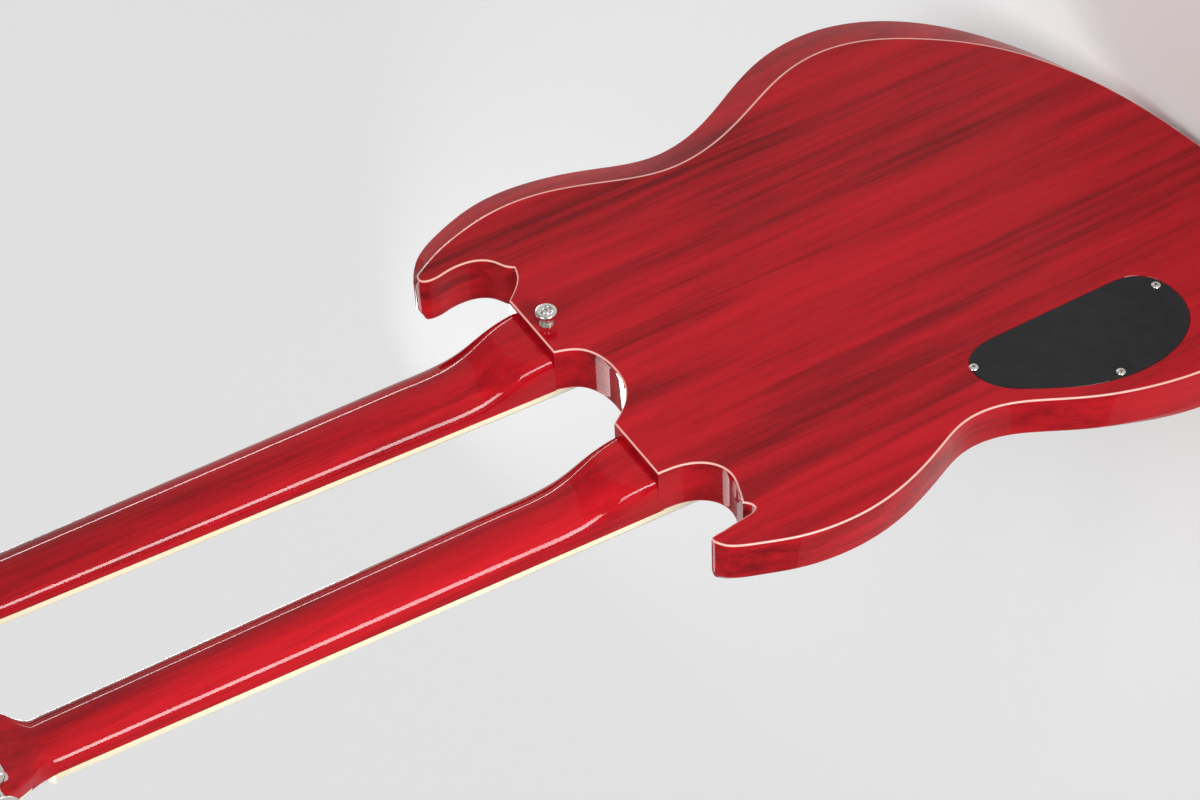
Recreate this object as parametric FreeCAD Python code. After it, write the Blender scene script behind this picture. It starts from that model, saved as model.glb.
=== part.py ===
"""Double-neck electric guitar: a twelve-string and a six-string neck on one carved body.

The guitar stands upright. +Z runs up the necks to the heads, -Y is the playing face, +Y is the
back, and +X is the treble side. The origin is the seat of the tail strap button, midway between
the necks and midway through the body. All lengths are in millimetres, all angles in degrees.
"""
import FreeCAD
import Part
import math
import os

# Body
body_thickness = 36.0
body_length = 476.0
bass_reach = 227.7
treble_reach = 207.5
back_bevel_width = 31.0
back_bevel_depth = 7.0
front_bevel_width = 13.0
front_bevel_depth = 6.0
heel_step = 7.5

# Necks, pitched back from the body face
neck_spacing = 132.3
neck_pitch = 1.9
scale_length = 628.0
heel_to_nut_share = 0.6624
neck_depth_at_nut = 14.8
neck_depth_at_heel = 18.6
heel_run = 64.0
tenon_length = 40.0
tenon_width = 38.0
tenon_depth = 22.0
pad_margin = 5.0
nut_width_six = 43.0
nut_width_twelve = 47.0
board_end_width_six = 54.0
board_end_width_twelve = 59.5

neck_roundness = 2.0
neck_section_steps = 8
throat_run = 18.0

# Boards, frets, inlays, binding and nuts
board_foot_margin = 3.2
board_thickness = 6.2
board_radius = 305.0
binding_width = 1.6
fret_count = 22
fret_width = 2.4
fret_height = 1.1
inlay_depth = 1.4
inlay_side_gap = 6.0
nut_thickness = 5.0
nut_rise = 2.6
nut_land_share = 0.35

# Heads, tilted back from the necks
head_angle = 14.0
head_thickness = 13.5
head_half_width = 37.5
head_length_six = 184.0
head_length_twelve = 236.0
head_binding_depth = 2.0
rod_cover_width = 24.0
rod_cover_length = 44.0
rod_cover_thickness = 1.8
rod_cover_lift = 14.0
rod_cover_waist_share = 0.8

# Tuners
tuner_first = 46.0
tuner_step_six = 43.0
tuner_step_twelve = 29.0
post_offset = 24.5
post_radius = 3.0
post_rise = 15.0
housing_width = 15.0
housing_height = 17.0
housing_depth = 11.5
key_drop = 6.2
key_stem_radius = 1.8
key_stem_reach = 18.0
key_seat_depth = 4.0
key_length = 15.0
key_height = 17.0
key_thickness = 6.0

# Strings
course_pair_gap = 2.2
string_edge_margin = 3.4
string_lift_at_nut = 0.55
string_lift_at_bridge = 4.2
string_spread_at_bridge = 51.0
winding_height = 6.5
string_diameters = (0.28, 0.36, 0.48, 0.70, 0.92, 1.20)
octave_diameters = (0.26, 0.34, 0.26, 0.36, 0.52, 0.72)

# Pickups and rings
neck_pickup_below_board = 26.0
bridge_pickup_above_bridge = 44.0
pickup_width = 70.0
pickup_height = 38.0
pickup_depth = 20.0
pickup_corner = 3.0
pickup_string_gap = 3.2
ring_width = 90.0
ring_height = 45.0
ring_rise_at_neck = 4.5
ring_rise_at_bridge = 8.0
ring_corner = 4.0
pickup_pocket_depth = 21.0

# Bridges and tailpieces
bridge_length = 88.0
bridge_thickness = 11.0
bridge_height = 6.0
bridge_post_spacing = 74.0
bridge_post_radius = 2.5
thumbwheel_radius = 6.5
thumbwheel_height = 2.6
saddle_width = 6.6
saddle_height = 3.6
saddle_count = 6
bar_end_share = 0.4545
tailpiece_below_bridge = 42.0
tailpiece_length = 102.0
tailpiece_thickness = 14.0
tailpiece_height = 9.0
tailpiece_lift = 3.0
stud_spacing = 82.0
stud_radius = 4.0
stud_head_radius = 6.2
stud_head_height = 2.4
insert_depth = 19.0

# Controls in the treble bout
front_wall = 6.0
cover_width = 77.7
cover_length = 156.8
cover_left = 107.9
cover_bottom = 101.1
cover_thickness = 2.3
cover_ledge = 6.5
knob_radius = 12.0
knob_top_radius = 10.2
knob_height = 13.0
knob_gap = 4.2
control_shaft_radius = 3.0
pot_radius = 11.8
pot_depth = 9.5
jack_radius = 4.7
jack_bore_radius = 3.25
jack_barrel_length = 9.0
jack_nut_radius = 7.5
jack_nut_thickness = 2.6

# Pickguards and selector switches
guard_thickness = 2.4
switch_width = 16.0
switch_length = 40.0
switch_depth = 20.0
switch_pocket_margin = 2.0
switch_bushing_radius = 5.6
switch_bushing_rise = 3.5
switch_well_width = 8.0
lever_radius = 1.5
lever_barrel_radius = 2.3
lever_tip_radius = 3.6
lever_length = 21.0
lever_tip_length = 11.0
lever_tip_share = 0.6
lever_pivot_depth = 2.0

# Strap buttons
strap_base_radius = 6.2
strap_neck_radius = 3.8
strap_head_radius = 7.5
strap_height = 12.0
strap_waist_share = 0.45
strap_head_share = 0.78
strap_button_x = -63.0
strap_button_below_heel = 10.0

# Clearances
slip = 0.05
running = 0.08
air = 0.3
overrun = 5.0

# Flats round a small bore, and round each quarter of an eased corner
bore_flats = 12
corner_flats = 3

# Shares of the body outline: across the reach, up the length, back bevel, front bevel
treble_side_shares = (
    (0.746, 1.0074, 0, 0.16), (0.778, 1.0020, 0, 0.22), (0.850, 0.9540, 0, 0.55),
    (0.893, 0.9020, 0, 1), (0.914, 0.8500, 0, 1), (0.914, 0.7950, 0, 1),
    (0.883, 0.7280, 0, 1), (0.815, 0.6530, 0, 1), (0.775, 0.6080, 0, 1),
    (0.769, 0.5700, 0, 0.95), (0.790, 0.5300, 0, 0.85), (0.837, 0.4870, 0, 0.7),
    (0.901, 0.4330, 0, 0.5), (0.956, 0.3680, 0, 0.3), (0.991, 0.2980, 0, 0.1),
    (1.000, 0.2380, 0, 0), (0.980, 0.1760, 0, 0), (0.920, 0.1160, 0, 0),
    (0.815, 0.0600, 0, 0), (0.660, 0.0170, 0, 0), (0.460, -0.0070, 0, 0),
    (0.240, -0.0110, 0, 0),
)
bass_side_shares = (
    (0.000, 0.0000, 0, 0), (-0.200, 0.0130, 0.1, 0), (-0.427, 0.0390, 0.31, 0),
    (-0.624, 0.0800, 0.53, 0), (-0.830, 0.1500, 0.87, 0), (-0.962, 0.2400, 1, 0),
    (-1.000, 0.3240, 1, 0.1), (-0.969, 0.4130, 0.94, 0.3), (-0.877, 0.5030, 0.85, 0.6),
    (-0.785, 0.5930, 0.79, 0.9), (-0.763, 0.6680, 0.78, 1), (-0.822, 0.7600, 0.75, 1),
    (-0.872, 0.8500, 0.71, 1), (-0.874, 0.9300, 0.68, 1), (-0.828, 1.0020, 0.58, 0.9),
    (-0.751, 1.0630, 0.42, 0.7), (-0.646, 1.0953, 0, 0.4),
)
# Shares of each cutaway: across it, and up from the heel line as a share of its depth
bass_cutaway_width = 45.9
bass_cutaway_share = 0.0399
treble_cutaway_width = 62.1
treble_cutaway_share = 0.0809
middle_cutaway_share = 0.0536
bass_flank_shares = ((1.13, 2.39), (1.01, 2.20), (1.02, 1.30), (1.05, 0.52), (1.00, -0.04),
                     (0.84, -0.52), (0.64, -0.80), (0.57, -1.00))
bass_throat_shares = ((0.57, -1.00), (0.40, -0.87), (0.18, -0.48), (0, 0))
middle_shares = ((0, 0), (0.10, -0.64), (0.27, -0.93), (0.50, -1.00), (0.70, -0.87),
                 (0.85, -0.56), (1, 0))
treble_throat_shares = ((0, 0), (0.03, -0.43), (0.11, -0.73), (0.24, -0.93), (0.40, -1.00),
                        (0.60, -0.93), (0.795, -0.82))
treble_flank_shares = ((0.795, -0.82), (0.85, -0.90), (0.91, -0.93), (0.965, -0.72),
                       (0.99, -0.38), (1.01, -0.10))

# Shares of the heel: along its run, depth from the neck's to the plateau's, and roundness
heel_shares = ((-0.06, 1.00, 7.0), (0.18, 0.98, 5.0), (0.42, 0.76, 3.4), (0.68, 0.26, 2.4),
               (1.00, 0.00, 2.0))
# Shares of the turn from neck to head: along it, depth from the neck's to the head's, roundness
throat_shares = ((0.5, 0.2, 2.6), (1.0, 1.0, 6.0))
# Shares of the heads, half width and length, from the nut to the crown, on one side
head_outline_shares = ((0.60, 0.00), (0.66, 0.055), (0.93, 0.17), (1.00, 0.26), (0.95, 0.50),
                       (0.93, 0.72), (1.00, 0.93))
head_crown_shares = ((0.78, 0.975), (0.40, 0.995))

# Shares of a tuner key's grip: out along it, and up from its middle
key_grip_shares = ((0, 0.35), (0.25, 0.92), (0.6, 1.0), (0.9, 0.75), (1, 0.3))
# Shares of the control cover's outline, from the straight side round
cover_shares = ((0, 0.205), (0.008, 0.150), (0.045, 0.095), (0.120, 0.045), (0.230, 0.014),
                (0.400, 0.000), (0.690, 0.042), (0.905, 0.174), (0.995, 0.390),
                (0.900, 0.637), (0.680, 0.845), (0.520, 0.950), (0.260, 1.000),
                (0.120, 0.975), (0.045, 0.925), (0.008, 0.865), (0, 0.800))
# Places on the cover of the four knobs and of the output jack
knob_shares = ((0.297, 0.865), (0.516, 0.682), (0.645, 0.484), (0.645, 0.274))
jack_share = (0.310, 0.146)
# Outline of one side of a pickguard, as shares of its width and length
guard_corner_shares = ((0.08, 1.00), (0.00, 0.97))
guard_foot_shares = ((0.00, 0.40), (0.05, 0.20), (0.20, 0.00))
middle_guard_width = 38.0
middle_guard_bottom = 240.0
middle_guard_top = 440.0
treble_guard_left = 113.5
treble_guard_width = 43.0
treble_guard_bottom = 284.0
treble_guard_top = 425.0
middle_switch_z = 330.0
treble_switch_share = (0.55, 0.55)

front_y = -body_thickness / 2
back_y = body_thickness / 2
nut_z = scale_length * heel_to_nut_share
heel_z = body_length
board_overhang = scale_length * (1 - 2 ** (-fret_count / 12)) - nut_z + board_foot_margin
bass_cutaway_depth = body_length * bass_cutaway_share
treble_cutaway_depth = body_length * treble_cutaway_share
middle_cutaway_depth = body_length * middle_cutaway_share

V = FreeCAD.Vector
side_x = {"twelve": -neck_spacing / 2, "six": neck_spacing / 2}
nut_width = {"twelve": nut_width_twelve, "six": nut_width_six}
board_end_width = {"twelve": board_end_width_twelve, "six": board_end_width_six}
head_length = {"twelve": head_length_twelve, "six": head_length_six}
tuner_step = {"twelve": tuner_step_twelve, "six": tuner_step_six}
twelve_row_count = 6
six_row_count = 3
tuner_count = {"twelve": twelve_row_count, "six": six_row_count}


def turn_x(angle):
    return FreeCAD.Rotation(V(1, 0, 0), angle)


def turn_z(angle):
    return FreeCAD.Rotation(V(0, 0, 1), angle)


def placed(shape, placement):
    moved = shape.copy()
    moved.Placement = placement.multiply(moved.Placement)
    return moved


def facing_front(x, z):
    """Local +Z comes out of the playing face."""
    return FreeCAD.Placement(V(x, front_y, z), turn_x(90))


def facing_back(x, z):
    return FreeCAD.Placement(V(x, back_y, z), turn_x(-90))


def neck_frame(side):
    """Origin on the heel line at the underside of the board, +Z up the neck."""
    return FreeCAD.Placement(V(side_x[side], front_y, heel_z), turn_x(-neck_pitch))


def head_frame(side):
    tilt = FreeCAD.Placement(V(0, 0, nut_z), turn_x(-head_angle))
    return neck_frame(side).multiply(tilt)


def box(low, high):
    size = high - low
    return Part.makeBox(size.x, size.y, size.z, low)


def spline(points):
    curve = Part.BSplineCurve()
    curve.interpolate(points)
    return curve.toShape()


def line(start, end):
    return Part.LineSegment(start, end).toShape()


def polygon(points):
    return Part.makePolygon(list(points) + [points[0]])


def prism(wire, travel):
    return Part.Face(wire).extrude(travel)


def turned(profile):
    """Solid of revolution about local Z from (radius, height) corners."""
    face = Part.Face(polygon([V(radius, 0, height) for radius, height in profile]))
    return face.revolve(V(0, 0, 0), V(0, 0, 1), 360)


def flat_ring(radius, base):
    """Level outline on local Z whose flats all touch a circle of this radius."""
    corner = radius / math.cos(math.pi / bore_flats)
    points = []
    for step in range(bore_flats):
        angle = 2 * math.pi * step / bore_flats
        points.append(V(corner * math.cos(angle), corner * math.sin(angle), base))
    return polygon(points)


def flat_sided(radius, height, base=0.0):
    """Upright prism on local Z whose flats all touch a circle of this radius."""
    return prism(flat_ring(radius, base), V(0, 0, height))


def eased_block(width, height, depth, corner, base=0.0):
    """Block centred on local Z, each upright corner eased by a few flats."""
    points = []
    for quarter in range(4):
        turn = math.pi / 2 * quarter
        along = math.copysign(width / 2 - corner, math.cos(turn + math.pi / 4))
        up = math.copysign(height / 2 - corner, math.sin(turn + math.pi / 4))
        for step in range(corner_flats + 1):
            angle = turn + math.pi / 2 * step / corner_flats
            points.append(V(along + corner * math.cos(angle), up + corner * math.sin(angle),
                            base))
    return prism(polygon(points), V(0, 0, depth))


def board_half_width(side, z):
    """Half width of the board at a height above the heel line."""
    run = (nut_z - z) / (nut_z + board_overhang)
    return (nut_width[side] + run * (board_end_width[side] - nut_width[side])) / 2


def fret_z(number):
    return nut_z - scale_length * (1 - 2 ** (-number / 12))


def string_height(z):
    """Height of a string's underside over the flat of the board, along the neck."""
    at_nut = board_thickness + fret_height + string_lift_at_nut
    at_bridge = board_thickness + fret_height + string_lift_at_bridge
    return at_nut + (at_bridge - at_nut) * (nut_z - z) / scale_length


def neck_to_body(side, x, y, z):
    return neck_frame(side).multVec(V(x, y, z))


bridge_point = neck_to_body("six", 0, -string_height(nut_z - scale_length), nut_z - scale_length)
bridge_z = bridge_point.z
bridge_string_rise = front_y - bridge_point.y


def heel_corner(side, sign):
    return side_x[side] + sign * board_half_width(side, 0)


def outline_loop():
    """The body's outline clockwise from the treble horn, as edges of (x, z, back, front)."""
    outer = [(x * treble_reach, z * body_length, back, front)
             for x, z, back, front in treble_side_shares]
    outer += [(x * bass_reach, z * body_length, back, front)
              for x, z, back, front in bass_side_shares]

    def cutaway(shares, corner, width, depth):
        return [(corner + x * width, heel_z + z * depth, 0, 0) for x, z in shares]

    bass_corner = heel_corner("twelve", -1)
    gap_left = heel_corner("twelve", 1)
    gap_right = heel_corner("six", -1)
    treble_corner = heel_corner("six", 1)
    bass_flank = cutaway(bass_flank_shares, bass_corner, -bass_cutaway_width, bass_cutaway_depth)
    bass_throat = cutaway(bass_throat_shares, bass_corner, -bass_cutaway_width,
                          bass_cutaway_depth)
    middle = cutaway(middle_shares, gap_left, gap_right - gap_left, middle_cutaway_depth)
    treble_throat = cutaway(treble_throat_shares, treble_corner, treble_cutaway_width,
                            treble_cutaway_depth)
    treble_flank = cutaway(treble_flank_shares, treble_corner, treble_cutaway_width,
                           treble_cutaway_depth)
    bass_flank[0] = outer[-1]
    bass_heel = [bass_throat[-1], middle[0]]
    treble_heel = [middle[-1], treble_throat[0]]
    treble_flank.append(outer[0])
    return [outer, bass_flank, bass_throat, bass_heel, middle, treble_heel, treble_throat,
            treble_flank]


def inset_edge(edge, before, after, which, width):
    """Points of one outline edge, moved into the body by each point's share of the bevel."""
    chain = [before] + edge + [after]
    points = []
    for place in range(1, len(chain) - 1):
        ahead = V(chain[place + 1][0] - chain[place - 1][0], 0,
                  chain[place + 1][1] - chain[place - 1][1])
        outward = V(-ahead.z, 0, ahead.x).normalize()
        x, z = chain[place][0], chain[place][1]
        share = chain[place][which] if which else 0
        points.append(V(x, 0, z) - outward * (width * share))
    return points


def outline_wire(y, which=0, width=0.0):
    """Closed body outline at one depth. which picks the bevel: 2 the back's, 3 the front's."""
    loop = outline_loop()
    edges = []
    for place, edge in enumerate(loop):
        before = loop[place - 1][-2]
        after = loop[(place + 1) % len(loop)][1]
        points = [point + V(0, y, 0) for point in inset_edge(edge, before, after, which, width)]
        edges.append(line(*points) if len(points) == 2 else spline(points))
    return Part.Wire(edges)


def cover_wire(y, inset):
    """Teardrop outline of the rear control cover, drawn in by an inset."""
    centre_x = cover_left + cover_width / 2
    centre_z = cover_bottom + cover_length / 2
    wide = cover_width - 2 * inset
    tall = cover_length - 2 * inset
    points = [V(centre_x + (x - 1 / 2) * wide, y, centre_z + (z - 1 / 2) * tall)
              for x, z in cover_shares]
    arcs = [Part.Arc(*points[place:place + 3]).toShape()
            for place in range(0, len(points) - 2, 2)]
    return Part.Wire(arcs + [line(points[-1], points[0])])


def on_cover(share):
    return cover_left + share[0] * cover_width, cover_bottom + share[1] * cover_length


def pickup_places():
    """Each pickup as its x, z and ring height."""
    neck_z = heel_z - board_overhang - neck_pickup_below_board
    lower_z = bridge_z + bridge_pickup_above_bridge
    return [(x, z, rise) for x in side_x.values()
            for z, rise in ((neck_z, ring_rise_at_neck), (lower_z, ring_rise_at_bridge))]


def switch_places():
    """Each selector as its x, z and the angle that its slot is turned by."""
    treble_x = treble_guard_left + treble_switch_share[0] * treble_guard_width
    treble_length = treble_guard_top - treble_guard_bottom
    treble_z = treble_guard_bottom + treble_switch_share[1] * treble_length
    return [(0, middle_switch_z), (treble_x, treble_z)]


def build_body():
    """Carved slab with its bevels, pockets, control cavity and drilled seats."""
    sections = [outline_wire(front_y, 3, front_bevel_width),
                outline_wire(front_y + front_bevel_depth),
                outline_wire(back_y - back_bevel_depth),
                outline_wire(back_y, 2, back_bevel_width)]
    slab = Part.makeLoft(sections, True, True)
    cuts = [placed(Part.makeCylinder(strap_head_radius, overrun), strap_place("tail"))]
    for side, x in side_x.items():
        half = tenon_width / 2 + slip
        cuts.append(box(V(x - half, front_y - overrun, heel_z - tenon_length - slip),
                        V(x + half, front_y + tenon_depth + slip, heel_z + overrun)))
        seat = flat_sided(bridge_post_radius + slip, insert_depth + overrun, -insert_depth)
        cuts += pair_on_front(seat, x, bridge_post_spacing, bridge_z)
        seat = flat_sided(stud_radius + slip, insert_depth + overrun, -insert_depth)
        cuts += pair_on_front(seat, x, stud_spacing, bridge_z - tailpiece_below_bridge)
    for x, z, rise in pickup_places():
        cuts.append(front_pocket(x, z, pickup_width + 2 * air, pickup_height + 2 * air,
                                 pickup_pocket_depth))
    for x, z in switch_places():
        cuts.append(front_pocket(x, z, switch_width + 2 * switch_pocket_margin,
                                 switch_length + 2 * switch_pocket_margin,
                                 switch_depth + switch_pocket_margin))
    recess_y = back_y - cover_thickness
    cuts.append(prism(cover_wire(recess_y, -slip), V(0, cover_thickness + overrun, 0)))
    cavity_y = front_y + front_wall
    cuts.append(prism(cover_wire(cavity_y, cover_ledge), V(0, recess_y - cavity_y + overrun, 0)))
    through = front_wall + 2 * overrun
    shaft_hole = flat_sided(control_shaft_radius + running, through, -front_wall - overrun)
    cuts += [placed(shaft_hole, facing_front(*on_cover(share))) for share in knob_shares]
    jack_hole = flat_sided(jack_radius + slip, through, -front_wall - overrun)
    cuts.append(placed(jack_hole, facing_front(*on_cover(jack_share))))
    return slab.cut(cuts)


def pair_on_front(shape, x, spacing, z):
    """Two copies of a shape on the playing face, either side of x."""
    return [placed(shape, facing_front(x + sign * spacing / 2, z)) for sign in (-1, 1)]


def front_pocket(x, z, width, height, depth):
    block = Part.makeBox(width, height, depth + overrun, V(-width / 2, -height / 2, -depth))
    return placed(block, facing_front(x, z))


def strap_place(which):
    if which == "heel":
        return facing_back(strap_button_x, heel_z - strap_button_below_heel)
    return FreeCAD.Placement(V(0, 0, 0), turn_x(180))


def neck_section(half_width, depth, power, placement):
    """D-shaped section below the board: a superellipse closed by a straight top."""
    steps = neck_section_steps
    points = []
    for step in range(steps + 1):
        angle = math.pi * step / steps
        across = abs(math.cos(angle)) ** (2 / power) * math.copysign(1, math.cos(angle))
        down = abs(math.sin(angle)) ** (2 / power)
        points.append(placement.multVec(V(half_width * across, depth * down, 0)))
    points[0] = placement.multVec(V(half_width, 0, 0))
    points[-1] = placement.multVec(V(-half_width, 0, 0))
    return Part.Wire([spline(points), line(points[-1], points[0])])


def build_neck(side):
    """One neck with its heel, tenon, shaft and tilted head, in body coordinates."""
    plateau = back_y - heel_step - front_y
    heel_sections = []
    for along, depth_share, power in heel_shares:
        z = along * heel_run
        depth = neck_depth_at_heel + depth_share * (plateau - neck_depth_at_heel)
        heel_sections.append(neck_section(board_half_width(side, z), depth, power,
                                          FreeCAD.Placement(V(0, 0, z), turn_x(0))))
    throat_sections = [neck_section(board_half_width(side, nut_z), neck_depth_at_nut,
                                    neck_roundness,
                                    FreeCAD.Placement(V(0, 0, nut_z), turn_x(0)))]
    shaft_sections = [heel_sections[-1], throat_sections[0]]
    for along, depth_share, power in throat_shares:
        up = along * throat_run
        depth = neck_depth_at_nut + depth_share * (head_thickness - neck_depth_at_nut)
        tilted = FreeCAD.Placement(V(0, 0, nut_z), turn_x(-head_angle))
        level = tilted.multiply(FreeCAD.Placement(V(0, 0, up), turn_x(0)))
        throat_sections.append(neck_section(head_half_at(side, up), depth, power, level))
    heel = Part.makeLoft(heel_sections, True, False)
    shaft = Part.makeLoft(shaft_sections, True, True)
    throat = Part.makeLoft(throat_sections, True, False)
    frame = neck_frame(side)
    pad_wire = polygon(board_corners(side, 0, -board_overhang, overrun, 0))
    pad = placed(prism(pad_wire, V(0, tenon_depth / 2, 0)), frame)
    shell = placed(heel.fuse([shaft, throat]), frame)
    wide = board_end_width[side]
    x = side_x[side]
    below_heel = box(V(x - wide, front_y - tenon_depth, heel_z - 2 * board_overhang),
                     V(x + wide, back_y + overrun, heel_z))
    above_face = box(V(x - wide, front_y - tenon_depth, heel_z - 2 * board_overhang),
                     V(x + wide, front_y, heel_z - pad_margin))
    shell = shell.cut(below_heel)
    pad = pad.common(above_face)
    tenon = box(V(x - tenon_width / 2, front_y, heel_z - tenon_length),
                V(x + tenon_width / 2, front_y + tenon_depth, heel_z))
    head = placed(build_head(side), head_frame(side))
    neck = shell.fuse([pad, tenon, head])
    return neck.cut([placed(hole, head_frame(side)) for hole in head_holes(side)])


def head_points(side, inset):
    """Outline of one side of a head in its own frame, from the nut to the crown."""
    long = head_length[side]
    points = []
    for across, up in head_outline_shares + head_crown_shares:
        x = across * head_half_width
        if up == 0:
            x = nut_width[side] / 2
        points.append(V(x - inset, 0, up * (long - inset)))
    return points


def head_half_at(side, z):
    """Half width of the head at a height above the nut, read off its first shares."""
    points = head_points(side, 0)
    for low, high in zip(points, points[1:]):
        if low.z <= z <= high.z:
            return low.x + (high.x - low.x) * (z - low.z) / (high.z - low.z)
    return head_half_width


def head_wire(side, start_z, inset):
    """Closed outline of a head above start_z, symmetrical, with a softly arched crown."""
    turn_place = len(head_outline_shares)
    points = head_points(side, inset)
    start = V(head_half_at(side, start_z) - inset, 0, start_z)
    flank = [start] + [point for point in points[:turn_place] if point.z > start_z + overrun / 2]
    crown = points[turn_place - 1:] + [V(0, 0, head_length[side] - inset)]
    left = [V(-point.x, 0, point.z) for point in reversed(flank)]
    top = crown + [V(-point.x, 0, point.z) for point in reversed(crown[:-1])]
    return Part.Wire([spline(flank), spline(top), spline(left), line(left[-1], flank[0])])


def build_head(side):
    """Flat head with its rebate for the binding, in the head's own frame."""
    start = throat_run
    plate = prism(head_wire(side, start, 0), V(0, head_thickness, 0))
    rebate = prism(head_wire(side, start, 0), V(0, head_binding_depth, 0))
    core = prism(head_wire(side, start, binding_width), V(0, head_binding_depth, 0))
    return plate.cut(rebate.cut(core))


def head_binding(side):
    """Binding round the edge of a head's face, in the head's own frame."""
    start = throat_run
    outer = prism(head_wire(side, start, 0), V(0, head_binding_depth, 0))
    inner = prism(head_wire(side, start, binding_width), V(0, head_binding_depth, 0))
    return outer.cut(inner)


def tuner_places(side):
    """Each tuner of a head: its label, side of the head, and height above the nut."""
    places = []
    for row in range(tuner_count[side]):
        for sign in (-1, 1):
            number = row + 1 if sign < 0 else 2 * tuner_count[side] - row
            places.append((f"{side}_{number:02d}", sign, tuner_first + row * tuner_step[side]))
    return places


def head_holes(side):
    """Bearing holes of the string posts, right through the head."""
    hole = flat_sided(post_radius + running, head_thickness + 2 * overrun, -overrun)
    holes = []
    for label, sign, z in tuner_places(side):
        place = FreeCAD.Placement(V(sign * post_offset, 0, z), turn_x(-90))
        holes.append(placed(hole, place))
    return holes


def board_corners(side, inset, foot, top, y):
    """Corners of the tapered board in the neck frame between two heights."""
    at_foot = board_half_width(side, foot) - inset
    at_top = board_half_width(side, top) - inset
    return [V(-at_foot, y, foot), V(at_foot, y, foot), V(at_top, y, top), V(-at_top, y, top)]


def board_barrel(rise):
    """Long cylinder whose top is the board's playing surface, raised by rise."""
    radius = board_radius + rise
    return Part.makeCylinder(radius, nut_z + board_overhang + 4 * overrun,
                             V(0, board_radius - board_thickness, -board_overhang - 2 * overrun))


def inlay_blanks(side):
    """Slanted blocks between the marked frets, cut through the top of the board."""
    blanks = []
    for number in (3, 5, 7, 9, 12, 15, 17, 19, 21):
        top = fret_z(number - 1)
        bottom = fret_z(number)
        half = board_half_width(side, bottom) - binding_width - inlay_side_gap
        margin = (top - bottom) / 5
        slant = (top - bottom) / 8
        y = inlay_depth - board_thickness
        corners = [V(-half, y, bottom + margin - slant / 2), V(half, y, bottom + margin + slant),
                   V(half, y, top - margin + slant / 2), V(-half, y, top - margin - slant)]
        blanks.append(prism(polygon(corners), V(0, -inlay_depth - overrun, 0)))
    return blanks


def build_board(side):
    """Fretboard core, its binding, its inlays and its frets, all in the neck frame."""
    rise = V(0, -board_thickness - overrun, 0)
    barrel = board_barrel(0)
    foot = -board_overhang
    whole = prism(polygon(board_corners(side, 0, foot, nut_z, 0)), rise)
    inner = prism(polygon(board_corners(side, binding_width, foot + binding_width, nut_z, 0)),
                  rise)
    whole = whole.common(barrel)
    core = inner.common(barrel)
    binding = whole.cut(inner)
    blanks = Part.makeCompound(inlay_blanks(side))
    inlays = core.common(blanks)
    core = core.cut(blanks)
    frets = [build_fret(side, number) for number in range(1, fret_count + 1)]
    return core, binding, inlays, frets


def build_fret(side, number):
    """One fret, curved to the board and lying on it between the bindings."""
    z = fret_z(number)
    axis_y = board_radius - board_thickness
    foot = axis_y - board_radius - slip
    half = board_half_width(side, z) - binding_width
    half_angle = math.degrees(half / board_radius)
    profile = polygon([V(0, foot, z - fret_width / 2),
                       V(0, foot - fret_height, z - fret_width / 5),
                       V(0, foot - fret_height, z + fret_width / 5),
                       V(0, foot, z + fret_width / 2)])
    face = Part.Face(profile)
    face.rotate(V(0, axis_y, 0), V(0, 0, 1), -half_angle)
    return face.revolve(V(0, axis_y, 0), V(0, 0, 1), 2 * half_angle)


def string_places(side):
    """Each string's share across the nut from the bass side, and its diameter."""
    half = nut_width[side] / 2 - string_edge_margin
    places = []
    for course in range(saddle_count):
        centre = -half + 2 * half * course / (saddle_count - 1)
        main = string_diameters[saddle_count - 1 - course]
        if side == "six":
            places.append((centre, main))
            continue
        octave = octave_diameters[saddle_count - 1 - course]
        places.append((centre - course_pair_gap / 2, octave))
        places.append((centre + course_pair_gap / 2, main))
    return places


def string_runs(side):
    """Corner points of every string's centre line, from tailpiece to post, with its radius."""
    places = string_places(side)
    half = nut_width[side] / 2 - string_edge_margin
    spread = string_spread_at_bridge / (2 * half)
    tuners = tuner_places(side)
    lefts = [tuner for tuner in tuners if tuner[1] < 0]
    rights = list(reversed([tuner for tuner in tuners if tuner[1] > 0]))
    nut_foot = nut_z + nut_thickness * nut_land_share
    runs = []
    for (x, diameter), (label, sign, z) in zip(places, lefts + rights):
        radius = diameter / 2
        arch = x * x / (2 * board_radius)
        at_nut = neck_to_body(side, x, -string_height(nut_foot) - radius + arch, nut_foot)
        saddle_x = x * spread
        arch = saddle_x * saddle_x / (2 * board_radius)
        saddle_y = front_y - bridge_string_rise - radius + arch
        at_saddle = V(side_x[side] + saddle_x, saddle_y, bridge_z)
        tail_z = bridge_z - tailpiece_below_bridge + tailpiece_thickness / 2 + radius
        tail_y = front_y - tailpiece_lift - tailpiece_height / 2
        at_tail = V(side_x[side] + saddle_x, tail_y, tail_z)
        post_x = sign * (post_offset - post_radius - running - radius)
        at_post = head_frame(side).multVec(V(post_x, -winding_height, z))
        runs.append(([at_tail, at_saddle, at_nut, at_post], radius))
    return runs


def build_string(points, radius):
    """One string as a six-sided bar along its straight runs, mitred at the saddle and nut."""
    sides = 6
    start = points[0]
    ahead = points[1] - points[0]
    profile = Part.Wire(Part.makePolygon([start + turned_offset(ahead, radius, step / sides)
                                          for step in range(sides + 1)]))
    path = Part.makePolygon(points)
    return path.makePipeShell([profile], True, False, 1)


def turned_offset(ahead, radius, share):
    """Offset of the given radius square to a direction, at a share of the way round."""
    side = ahead.cross(V(0, 1, 0)).normalize()
    up = side.cross(ahead).normalize()
    angle = 2 * math.pi * share
    return side * (radius * math.cos(angle)) + up * (radius * math.sin(angle))


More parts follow.
